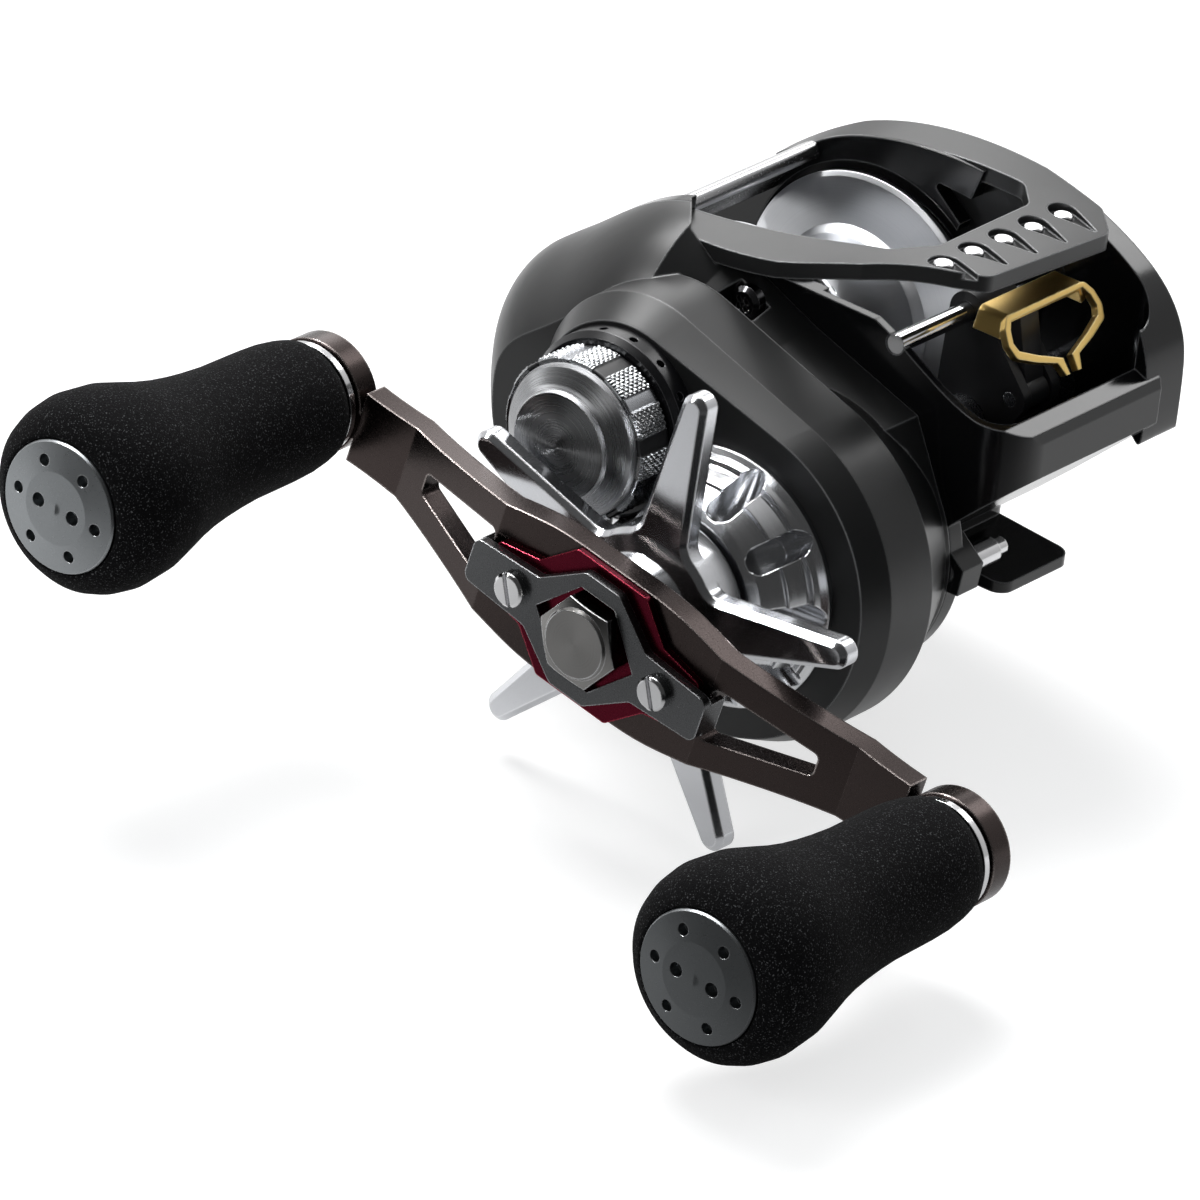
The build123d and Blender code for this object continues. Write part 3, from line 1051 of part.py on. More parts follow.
with BuildPart() as worm_bearings:
    tube(WORM, GEAR_OUT, GEAR_OUT + 1.8, WORM_BORE - SEAT, 1.5 + RUN)
    tube(WORM, WORM_SHAFT_END - 1.8, WORM_SHAFT_END, WORM_BORE - SEAT, 1.5 + RUN)
save(worm_bearings, "worm_bearings")

with BuildPart() as worm_cover:
    tube(WORM, GEAR_OUT, POCKET_PALM_X + 2.1, WORM_TUBE_R, WORM_BORE)
    # slot for the guide's pawl, open to the front
    slot_length = 2 * GUIDE_TRAVEL + 6
    with BuildSketch(Plane(origin=(GUIDE_MID_X, WORM[0], WORM[1]), x_dir=(1, 0, 0), z_dir=(0, -1, 0))):
        SlotOverall(slot_length, 2.6)
    extrude(amount=5, mode=Mode.SUBTRACT)
save(worm_cover, "worm_cover")

with BuildPart() as guide_rod:
    tube(ROD, GEAR_OUT + 0.1, POCKET_PALM_X + 1.8, ROD_R)
save(guide_rod, "guide_rod")

PIVOT = (11.0 - NOSE_REACH, SPOOL_HEIGHT + 3.6)
PIVOT_R = 0.9
CARRIAGE_HALF = 3.6
HOLDER_HALF = 1.8
pawl_plane = Plane(origin=(GUIDE_REST_X, WORM[0] - WORM_R - 0.1, WORM[1]), x_dir=(1, 0, 0), z_dir=(0, -1, 0))
with BuildPart() as guide_carriage:
    with BuildSketch(side(GUIDE_REST_X - CARRIAGE_HALF)) as block:
        with Locations(WORM):
            Circle(WORM_TUBE_R + 1.4)
        with Locations(ROD):
            Circle(ROD_R + 1.3)
        with Locations(PIVOT):
            Circle(2.3)
        make_hull()
        with Locations(WORM):
            Circle(WORM_TUBE_R + RUN, mode=Mode.SUBTRACT)
        with Locations(ROD):
            Circle(ROD_R + RUN, mode=Mode.SUBTRACT)
        with Locations(PIVOT):
            Circle(PIVOT_R + SEAT, mode=Mode.SUBTRACT)
    extrude(amount=2 * CARRIAGE_HALF)
    # gap that the guide's holder swings in
    with BuildSketch(side(GUIDE_REST_X - HOLDER_HALF - GAP)) as gap:
        with Locations(PIVOT):
            Circle(2.9)
        with Locations(Location((PIVOT[0] + 1.2, PIVOT[1] + 7, 0), 12)):
            Rectangle(9.0, 14)
    extrude(amount=2 * (HOLDER_HALF + GAP), mode=Mode.SUBTRACT)
    with BuildSketch(pawl_plane):
        Circle(1.0 + SEAT)
    extrude(amount=3.5, mode=Mode.SUBTRACT)
save(guide_carriage, "guide_carriage")

with BuildPart() as guide_pins:
    # pawl that rides in the worm's groove, and the line guide's pivot
    with BuildSketch(pawl_plane):
        Circle(1.0)
    extrude(amount=2.2)
    tube(PIVOT, GUIDE_REST_X - CARRIAGE_HALF, GUIDE_REST_X + CARRIAGE_HALF, PIVOT_R)
save(guide_pins, "guide_pins")

LEAN = 36.0                                 # how far the guide's face leans back
GUIDE_FOOT = (4.6 - NOSE_REACH, SPOOL_HEIGHT + 8.4)   # foot of the guide's face, between its two lips
GUIDE_T = 1.0
PLATE_DEEP = 4.0                            # top plate, front to back
PLATE_THICK = 1.1
GUIDE_TOP = 9.6                             # top edge, along the face
face_plane = Plane(origin=(GUIDE_REST_X, *GUIDE_FOOT), x_dir=(1, 0, 0),
                   z_dir=(0, -cos(radians(LEAN)), sin(radians(LEAN))))
front_edge = face_plane.from_local_coords(Vector(0, GUIDE_TOP, 0))


def rim_outline():
    """Front view of the guide: a rounded T, wide above and drawn together to two lips below."""
    with BuildSketch(face_plane) as rim:
        with BuildLine():
            half = [(1.5, 0.2), (2.2, 2.0), (5.6, 3.1), (8.8, 4.5), (9.4, 6.3), (8.9, 8.2), (7.7, GUIDE_TOP)]
            Polyline(*half, *[(-x, y) for x, y in reversed(half)], close=True)
        make_face()
        fillet(rim.vertices().filter_by(lambda v: abs(v.X) > 5), radius=1.0)
        with BuildLine():
            half = [(0.7, -1.0), (0.9, 2.3), (5.0, 3.85), (7.9, 5.2), (8.4, 6.3), (8.0, 7.9), (7.2, 9.0)]
            Polyline(*half, *[(-x, y) for x, y in reversed(half)], close=True)
        make_face(mode=Mode.SUBTRACT)
    return rim.sketch


with BuildPart() as t_guide:
    extrude(rim_outline(), amount=-GUIDE_T)
    # the top plate runs back from the rim's top edge, its ends bent down
    with BuildSketch(Plane(origin=(GUIDE_REST_X, front_edge.Y, front_edge.Z), x_dir=(1, 0, 0),
                           z_dir=(0, -1, 0))) as plate:
        with BuildLine():
            half = [(6.9, -PLATE_THICK), (7.9, -3.0), (8.7, -2.7), (7.7, 0)]
            Polyline(*half, *[(-x, y) for x, y in reversed(half)], close=True)
        make_face()
        fillet(plate.vertices().filter_by(lambda v: v.Y > -0.1), radius=1.0)
    extrude(amount=-PLATE_DEEP)
save(t_guide, "t_guide")

with BuildPart() as guide_holder:
    with BuildSketch(side(GUIDE_REST_X - HOLDER_HALF)) as holder:
        under = front_edge.Z - PLATE_THICK - SEAT
        with BuildLine():
            Polyline((front_edge.Y + 2.4, under), (front_edge.Y + PLATE_DEEP, under),
                     (PIVOT[0] + 1.7, PIVOT[1] + 0.5), (PIVOT[0] - 1.2, PIVOT[1] + 0.5), close=True)
        make_face()
        with Locations(PIVOT):
            Circle(2.0)
            Circle(PIVOT_R + RUN, mode=Mode.SUBTRACT)
    extrude(amount=2 * HOLDER_HALF)
save(guide_holder, "guide_holder")


# ================================================================ palm side
PALM_RIM = PALM_OUT + 0.1
PALM_DOME = ((PALM_RIM, 1.0), (PALM_OUT + 4.3, 0.99), (PALM_OUT + 8.3, 0.94), (PALM_OUT + 11.4, 0.83))
PALM_CENTRE = (-3.0, SPOOL_HEIGHT + 1)
DIAL_R = 9.0
DIAL_GROOVES = 14
DIAL_X = (PALM_OUT + 10.2, PALM_OUT + 13.4)
PALM_BEARING_R = 4.0
HOLLOW_R = 15.0                             # room for the magnets and rotor in the palm cover


def palm_sections(inset=0.0, shift=0.0):
    """The palm cover's outline at each station of its dome."""
    sections = []
    for x, share in PALM_DOME:
        face = scale(PALM_OUTLINE.moved(Location((0, -PALM_CENTRE[0], -PALM_CENTRE[1]))), by=share - inset)
        sections.append(face.moved(Location((x + shift, PALM_CENTRE[0], PALM_CENTRE[1]))))
    return sections


with BuildPart() as palm_side_cover:
    loft(palm_sections())
    extrude(nose_zone(0), amount=NOSE_X + 0.1, mode=Mode.SUBTRACT)
    # hollow round the spool's brake, with the palm bearing's hub in it and the dial's recess outside
    tube(SPOOL, 0, PALM_BEARING_X[1] - 0.6, HOLLOW_R, PALM_BEARING_R + 1.2, mode=Mode.SUBTRACT)
    tube(SPOOL, 0, PALM_BEARING_X[0] - 0.6, HOLLOW_R, mode=Mode.SUBTRACT)
    tube(SPOOL, 0, PALM_BEARING_X[1], PALM_BEARING_R + SEAT, mode=Mode.SUBTRACT)
    tube(SPOOL, DIAL_X[0] - 0.2, DIAL_X[1] + 1, DIAL_R + GAP, mode=Mode.SUBTRACT)
    tube(SPOOL, PALM_BEARING_X[1] - 1, DIAL_X[0], 1.6, mode=Mode.SUBTRACT)
    add(HOOD_ROOM, mode=Mode.SUBTRACT)
save(palm_side_cover, "palm_side_cover")

with BuildPart() as brake_dial:
    turned(SPOOL, [(DIAL_X[0], 0), (DIAL_X[0], DIAL_R), (DIAL_X[1] - 0.6, DIAL_R), (DIAL_X[1], DIAL_R - 0.6),
                   (DIAL_X[1] + 0.2, 0)])
    # finger grooves round the rim
    for k in range(DIAL_GROOVES):
        tube(at(SPOOL, k * 360 / DIAL_GROOVES, DIAL_R + 0.3), DIAL_X[0] + 1.0, DIAL_X[1] + 1, 0.9,
             mode=Mode.SUBTRACT)
save(brake_dial, "brake_dial")

with BuildPart() as brake_magnets:
    tube(SPOOL, PALM_OUT + 0.4, PALM_BEARING_X[0] - 0.7, ROTOR_R + 3.2, ROTOR_R + 0.6)
    tube(SPOOL, PALM_BEARING_X[0] - 1.5, PALM_BEARING_X[0] - 0.7, ROTOR_R + 3.2, PALM_BEARING_R + 0.4)
save(brake_magnets, "brake_magnets")

with BuildPart() as spool_bearings:
    tube(SPOOL, NECK_END + 0.8, NECK_END + 3.3, SPOOL_BEARING_R, SPOOL_SHAFT_R + RUN)
    tube(SPOOL, *PALM_BEARING_X, PALM_BEARING_R, SPOOL_SHAFT_R + RUN)
save(spool_bearings, "spool_bearings")

with BuildPart() as side_plate_bearings:
    tube(SPOOL, GEAR_OUT + 0.1, GEAR_OUT + 1.9, PINION_BEARING_R, 2.9 + RUN)
    tube(DRIVE, GEAR_OUT, GEAR_IN - 0.1, DRIVE_BEARING_R, DRIVE_SHAFT_R + RUN)
save(side_plate_bearings, "side_plate_bearings")

with BuildPart() as hood_rivets:
    for k in range(RIVETS):
        x, z = rivet_spot(k)
        with BuildSketch(Plane.XY.offset(z - RIVET_DEEP)):
            with Locations((x, RIVET_Y)):
                Circle(RIVET_R)
        extrude(amount=RIVET_DEEP)
    fillet(hood_rivets.faces().filter_by(lambda f: f.normal_at().Z > 0.9).edges(), radius=0.4)
save(hood_rivets, "hood_rivets")

with BuildPart() as tie_pin:
    tube(TIE_PIN, GEAR_OUT + 0.1, GEAR_OUT + 11, 1.2)
    tube(TIE_PIN, GEAR_OUT + 4.4, GEAR_OUT + 9, 1.7)
save(tie_pin, "tie_pin")
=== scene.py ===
"""Looks of the baitcasting reel: camera, studio, materials, and the pieces that stand for plain CAD solids.

Lengths are in metres, except where a name or a comment says millimetres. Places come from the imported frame.
"""
import json
import math

import bmesh
import bpy
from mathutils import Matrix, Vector


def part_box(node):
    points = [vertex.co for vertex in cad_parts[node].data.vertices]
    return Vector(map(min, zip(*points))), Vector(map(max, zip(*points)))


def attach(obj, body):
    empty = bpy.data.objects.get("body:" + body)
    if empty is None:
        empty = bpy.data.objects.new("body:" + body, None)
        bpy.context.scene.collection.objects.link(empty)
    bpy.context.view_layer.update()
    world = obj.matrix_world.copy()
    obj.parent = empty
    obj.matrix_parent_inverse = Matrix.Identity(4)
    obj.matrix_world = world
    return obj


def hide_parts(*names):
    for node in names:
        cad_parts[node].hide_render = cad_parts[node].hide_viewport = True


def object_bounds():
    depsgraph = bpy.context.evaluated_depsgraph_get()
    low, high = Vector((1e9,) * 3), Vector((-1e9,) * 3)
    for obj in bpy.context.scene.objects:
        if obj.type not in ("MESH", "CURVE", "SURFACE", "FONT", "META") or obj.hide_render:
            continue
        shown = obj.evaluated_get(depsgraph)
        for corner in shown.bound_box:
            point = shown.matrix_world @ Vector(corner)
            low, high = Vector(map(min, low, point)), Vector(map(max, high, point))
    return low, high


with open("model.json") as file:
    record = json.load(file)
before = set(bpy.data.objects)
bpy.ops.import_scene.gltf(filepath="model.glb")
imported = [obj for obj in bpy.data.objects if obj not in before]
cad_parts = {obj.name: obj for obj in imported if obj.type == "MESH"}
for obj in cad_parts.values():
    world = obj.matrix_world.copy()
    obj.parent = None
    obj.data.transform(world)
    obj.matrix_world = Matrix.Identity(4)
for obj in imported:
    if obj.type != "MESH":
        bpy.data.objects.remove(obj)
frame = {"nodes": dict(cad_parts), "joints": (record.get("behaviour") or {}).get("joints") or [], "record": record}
cad_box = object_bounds()
scene = bpy.context.scene
MM = 0.001
HINGES = {joint["name"]: joint["pos_m"] for joint in frame["joints"] if joint["type"] == "hinge"}


def shaft(hinge):
    """Y and Z of a hinge's shaft, which runs along X, in millimetres."""
    return HINGES[hinge][1] / MM, HINGES[hinge][2] / MM


SPOOL = shaft("spool_turn")
DRIVE = shaft("handle_turn")

# ---------------------------------------------------------------- camera, at the photograph's viewing angle
SENSOR = 36                                 # millimetres
LENS = 376.97                               # millimetres
CAMERA_PLACE = (-1.133521, -0.773647, 0.664357)
CAMERA_TURN = (0.778085, 0.450749, -0.27097, -0.34349)

camera_data = bpy.data.cameras.new("camera")
camera_data.sensor_width = SENSOR
camera_data.lens = LENS
camera_data.clip_start = 0.05
camera_data.clip_end = 20
camera = bpy.data.objects.new("camera", camera_data)
scene.collection.objects.link(camera)
camera.rotation_mode = "QUATERNION"
camera.location = CAMERA_PLACE
camera.rotation_quaternion = CAMERA_TURN
scene.camera = camera


# ---------------------------------------------------------------- node trees
class Nodes:
    """The node tree of a world or a material, emptied and built up again."""

    def __init__(self, owner):
        owner.use_nodes = True
        self.tree = owner.node_tree
        self.tree.nodes.clear()

    def node(self, kind, **values):
        made = self.tree.nodes.new(kind)
        for key, value in values.items():
            setattr(made, key, value)
        return made

    def link(self, source, socket):
        self.tree.links.new(source, socket)

    def maths(self, operation, *operands):
        """One step of arithmetic; each operand is a socket or a number."""
        made = self.node("ShaderNodeMath", operation=operation)
        for operand, socket in zip(operands, made.inputs):
            if isinstance(operand, (int, float)):
                socket.default_value = operand
            else:
                self.link(operand, socket)
        return made.outputs[0]

    def span(self, value, low, high, to_low, to_high, **values):
        """Carries a value from one range to another and holds it at the ends."""
        made = self.node("ShaderNodeMapRange", **values)
        self.link(value, made.inputs["Value"])
        for key, number in (("From Min", low), ("From Max", high), ("To Min", to_low), ("To Max", to_high)):
            made.inputs[key].default_value = number
        return made.outputs[0]

    def dot(self, a, b):
        """Dot product of a vector socket with another, or with a fixed vector."""
        made = self.node("ShaderNodeVectorMath", operation="DOT_PRODUCT")
        self.link(a, made.inputs[0])
        if isinstance(b, tuple):
            made.inputs[1].default_value = b
        else:
            self.link(b, made.inputs[1])
        return made.outputs["Value"]


# ---------------------------------------------------------------- studio
# A reflection shows the pale studio behind the reel, and falls off to dark in front of it.
BACKWARDS = (0.82, 0.57, 0.0)               # level direction towards the back of the studio
AMBIENT_COLOUR = (0.94, 0.97, 1.0, 1)
AMBIENT = 0.35
WALL_DARK, WALL_WHITE = 0.05, 1.0           # glow of the walls in front of the reel and behind it
WALL_TURN = (-0.15, 0.60)                   # of the view's direction along BACKWARDS, from dark to white
FLOOR_SIZE = 12
FLOOR_DROP = 0.0002                         # below the reel's lowest point
FLOOR_ALBEDO = 0.5
FLOOR_SEEN = 0.68                           # glow towards the camera
FLOOR_MIRRORED = 0.40                       # glow in reflections
FLOOR_DARK, FLOOR_PALE = 0.07, 1.0          # share of that glow in front of the handle and behind it
FLOOR_TURN = (-0.16, -0.03)                 # of the place along BACKWARDS, from dark to pale

scene.view_settings.view_transform = "Standard"
scene.world = bpy.data.worlds.new("studio")
sky = Nodes(scene.world)
rays = sky.node("ShaderNodeLightPath").outputs
mirrored = sky.maths("MAXIMUM", rays["Is Glossy Ray"], rays["Is Transmission Ray"])
ambient = sky.node("ShaderNodeBackground")
ambient.inputs["Color"].default_value = AMBIENT_COLOUR
ambient.inputs["Strength"].default_value = AMBIENT
wall = sky.node("ShaderNodeBackground")
wall.inputs["Color"].default_value = (1, 1, 1, 1)
direction = sky.node("ShaderNodeTexCoord").outputs["Generated"]
wall_glow = sky.span(sky.dot(direction, BACKWARDS), *WALL_TURN, WALL_DARK, WALL_WHITE)
sky.link(sky.maths("MAXIMUM", wall_glow, rays["Is Camera Ray"]), wall.inputs["Strength"])
choose = sky.node("ShaderNodeMixShader")
sky.link(sky.maths("MAXIMUM", rays["Is Camera Ray"], mirrored), choose.inputs[0])
sky.link(ambient.outputs[0], choose.inputs[1])
sky.link(wall.outputs[0], choose.inputs[2])
sky.link(choose.outputs[0], sky.node("ShaderNodeOutputWorld").inputs[0])

mesh = bpy.data.meshes.new("floor")
half = FLOOR_SIZE / 2
mesh.from_pydata([(-half, -half, 0), (half, -half, 0), (half, half, 0), (-half, half, 0)], [], [(0, 1, 2, 3)])
mesh.materials.append(bpy.data.materials.new("floor"))
floor = bpy.data.objects.new("floor", mesh)
scene.collection.objects.link(floor)
floor.location.z = cad_box[0].z - FLOOR_DROP
paint = Nodes(mesh.materials[0])
rays = paint.node("ShaderNodeLightPath").outputs
mirrored = paint.maths("MAXIMUM", rays["Is Glossy Ray"], rays["Is Transmission Ray"])
place = paint.node("ShaderNodeTexCoord").outputs["Object"]
paleness = paint.span(paint.dot(place, BACKWARDS), *FLOOR_TURN, FLOOR_DARK, FLOOR_PALE,
                      interpolation_type="SMOOTHSTEP")
glow = paint.node("ShaderNodeEmission")
glow.inputs["Color"].default_value = (1, 1, 1, 1)
seen_glow = paint.maths("MULTIPLY", rays["Is Camera Ray"], FLOOR_SEEN)
mirror_glow = paint.maths("MULTIPLY", paint.maths("MULTIPLY", mirrored, paleness), FLOOR_MIRRORED)
paint.link(paint.maths("ADD", seen_glow, mirror_glow), glow.inputs["Strength"])
matt = paint.node("ShaderNodeBsdfDiffuse")
shade = paint.maths("MULTIPLY", mirrored, paint.maths("SUBTRACT", 1.0, paleness))
paint.link(paint.maths("MULTIPLY", paint.maths("SUBTRACT", 1.0, shade), FLOOR_ALBEDO), matt.inputs["Color"])
both = paint.node("ShaderNodeAddShader")
paint.link(matt.outputs[0], both.inputs[0])
paint.link(glow.outputs[0], both.inputs[1])
paint.link(both.outputs[0], paint.node("ShaderNodeOutputMaterial").inputs[0])

LAMP_AIM = Vector((-0.02, -0.01, 0.01))
LAMPS = (                                   # name, place, width and height, watts, surfaces that it lights
    ("overhead", (0.20, 0.40, 0.72), (0.60, 0.40), 8.5, "all"),
    ("left_front", (-0.80, 0.30, 0.35), (0.40, 0.55), 2.6, "matt"),
    ("front_low", (-0.70, -0.70, 0.25), (0.40, 0.40), 0.7, "matt"),
    ("right_back", (0.72, -0.08, 0.62), (0.34, 0.16), 1.0, "all"),
    ("sky_glow", (-0.06, 0.24, 0.74), (0.46, 0.50), 3.4, "glossy"),
    ("back_glow", (0.62, 0.46, 0.40), (0.50, 0.26), 0.9, "glossy"),
    ("turned_glint", (-0.36, 0.42, 0.50), (0.09, 0.09), 2.4, "glossy"),
)
for name, spot, size, watts, lit in LAMPS:
    light = bpy.data.lights.new(name, "AREA")
    light.shape = "RECTANGLE"
    light.size, light.size_y = size
    light.energy = watts
    lamp = bpy.data.objects.new(name, light)
    scene.collection.objects.link(lamp)
    lamp.location = spot
    lamp.rotation_mode = "QUATERNION"
    lamp.rotation_quaternion = (LAMP_AIM - Vector(spot)).to_track_quat("-Z", "Y")
    lamp.visible_glossy = lit != "matt"
    lamp.visible_diffuse = lit != "glossy"


# ---------------------------------------------------------------- material kit
EDGE_COSINES = (0.985, 0.86)                # between rounded and flat normal, where the painted highlight along an edge starts and is full
NOISE_MIDDLE = (0.3, 0.7)                   # most of a noise's values lie between these


class Look(Nodes):
    """A Principled material with procedural detail, in the object's own coordinates."""

    def __init__(self, name, colour, metallic, rough, aniso=0.0, specular=0.5):
        self.material = bpy.data.materials.new(name)
        super().__init__(self.material)
        self.bsdf = self.node("ShaderNodeBsdfPrincipled")
        self.link(self.bsdf.outputs[0], self.node("ShaderNodeOutputMaterial").inputs[0])
        self.coords = self.node("ShaderNodeTexCoord").outputs["Object"]
        self.set("Base Color", (*colour, 1))
        self.set("Metallic", metallic)
        self.set("Roughness", rough)
        self.set("Anisotropic", aniso)
        self.set("Specular IOR Level", specular)
        self.colour = None
        self.height = None
        self.normal = None

    def set(self, socket, value):
        self.bsdf.inputs[socket].default_value = value

    def noise(self, scale, detail):
        """Noise from 0 to 1; scale is features per metre."""
        made = self.node("ShaderNodeTexNoise")
        made.inputs["Scale"].default_value = scale
        made.inputs["Detail"].default_value = detail
        self.link(self.coords, made.inputs["Vector"])
        return made.outputs["Fac"]

    def turned_lines(self, axis, scale, detail):
        """Noise that changes only with the distance from a shaft along X; scale is lines per metre."""
        split = self.node("ShaderNodeSeparateXYZ")
        self.link(self.coords, split.inputs[0])
        y = self.maths("SUBTRACT", split.outputs[1], axis[0] * MM)
        z = self.maths("SUBTRACT", split.outputs[2], axis[1] * MM)
        square = self.maths("ADD", self.maths("MULTIPLY", y, y), self.maths("MULTIPLY", z, z))
        made = self.node("ShaderNodeTexNoise", noise_dimensions="1D")
        made.inputs["Scale"].default_value = scale
        made.inputs["Detail"].default_value = detail
        self.link(self.maths("SQRT", square), made.inputs["W"])
        return made.outputs["Fac"]

    def mix(self, factor):
        """A colour mix that becomes the material's colour; returns its sockets at factor 0 and 1."""
        made = self.node("ShaderNodeMix", data_type="RGBA")
        self.link(factor, made.inputs["Factor"])
        self.colour = made.outputs[2]
        return made.inputs[6], made.inputs[7]

    def tint(self, factor, dark, light):
        """Colour between two."""
        none, full = self.mix(factor)
        none.default_value = (*dark, 1)
        full.default_value = (*light, 1)

    def over(self, factor, colour):
        """A colour laid over what is there."""
        under = self.colour
        none, full = self.mix(factor)
        self.link(under, none)
        full.default_value = (*colour, 1)

    def roughen(self, factor, low, high):
        self.link(self.span(factor, *NOISE_MIDDLE, low, high), self.bsdf.inputs["Roughness"])

    def raise_by(self, height, metres):
        """Adds a height field to the bump."""
        added = self.maths("MULTIPLY", height, metres)
        self.height = added if self.height is None else self.maths("ADD", self.height, added)

    def rounded(self, radius_mm):
        """Rounds the normal over sharp edges, and returns a mask of those edges."""
        bevel = self.node("ShaderNodeBevel", samples=4)
        bevel.inputs["Radius"].default_value = radius_mm * MM
        self.normal = bevel.outputs[0]
        flat = self.node("ShaderNodeNewGeometry").outputs["Normal"]
        return self.span(self.dot(self.normal, flat), *EDGE_COSINES, 0, 1)

    def finish(self):
        self.link(self.colour, self.bsdf.inputs["Base Color"])
        bump = self.node("ShaderNodeBump")
        bump.inputs["Distance"].default_value = 1.0         # the height field is in metres already
        bump.inputs["Strength"].default_value = 1.0
        self.link(self.height, bump.inputs["Height"])
        if self.normal is not None:
            self.link(self.normal, bump.inputs["Normal"])
        self.link(bump.outputs[0], self.bsdf.inputs["Normal"])
        return self.material


def scaled(colour, k):
    return tuple(c * k for c in colour)


def painted(name, colour, edge_highlight_colour, *, metallic, rough, edge_mm, flake=0.0, specular=0.5):
    """Lacquered metal: a faint ripple, slight colour drift, and edges rounded by the lacquer, with a painted
    highlight along them.
    """
    look = Look(name, colour, metallic, rough, specular=specular)
    look.tint(look.noise(scale=45, detail=2), scaled(colour, 0.86), scaled(colour, 1.16))
    if flake:
        sparkle = look.noise(scale=9000, detail=1)
        look.over(look.span(sparkle, 0.60, 0.78, 0, flake), scaled(colour, 5))
    # painted highlight along the rounded edges
    look.over(look.rounded(edge_mm), edge_highlight_colour)
    look.roughen(look.noise(scale=160, detail=3), rough * 0.96, rough * 1.06)
    look.raise_by(look.noise(scale=900, detail=2), metres=0.8e-6)
    return look.finish()


def satin_metal(name, colour, edge_highlight_colour, *, rough, edge_mm, aniso=0.0, axis=None):
    """Bare or anodised metal whose edges catch the light, with a painted highlight along them; an axis gives
    turned lines instead of grain.
    """
    look = Look(name, colour, 1.0, rough, aniso=aniso)
    if axis:
        lines = look.turned_lines(axis, scale=5200, detail=2)
        look.raise_by(lines, metres=1.2e-6)
        tangent = look.node("ShaderNodeTangent", direction_type="RADIAL", axis="X")
        look.link(tangent.outputs[0], look.bsdf.inputs["Tangent"])
    else:
        lines = look.noise(scale=4200, detail=2)
        look.raise_by(lines, metres=0.12e-6)
    look.tint(look.noise(scale=60, detail=2), scaled(colour, 0.9), scaled(colour, 1.08))
    look.over(look.span(lines, 0.35, 0.75, 0, 0.06), scaled(colour, 0.6))
    # painted highlight along the rounded edges
    look.over(look.rounded(edge_mm), edge_highlight_colour)
    look.roughen(lines, rough * 0.9, rough * 1.15)
    return look.finish()


def moulded(name, colour, *, rough):
    """Moulded plastic or resin with a fine grain."""
    look = Look(name, colour, 0.0, rough)
    look.tint(look.noise(scale=80, detail=2), scaled(colour, 0.8), scaled(colour, 1.25))
    look.rounded(radius_mm=0.15)
    look.raise_by(look.noise(scale=1500, detail=3), metres=4e-6)
    look.roughen(look.noise(scale=400, detail=2), rough * 0.85, rough * 1.15)
    return look.finish()


def foam(name, colour, pore, swell, grain):
    """EVA foam: black and matt, with a velvety speckle from pore to swell, and dust-fine pale grains."""
    look = Look(name, colour, 0.0, 0.95, specular=0.06)
    look.set("Sheen Weight", 0.015)
    look.set("Sheen Roughness", 0.5)
    look.tint(look.noise(scale=1500, detail=4), pore, swell)
    look.over(look.span(look.noise(scale=4600, detail=2), 0.60, 0.72, 0, 0.6), grain)
    look.raise_by(look.noise(scale=4200, detail=3), metres=9e-5)
    look.raise_by(look.noise(scale=1100, detail=3), metres=8e-5)
    return look.finish()
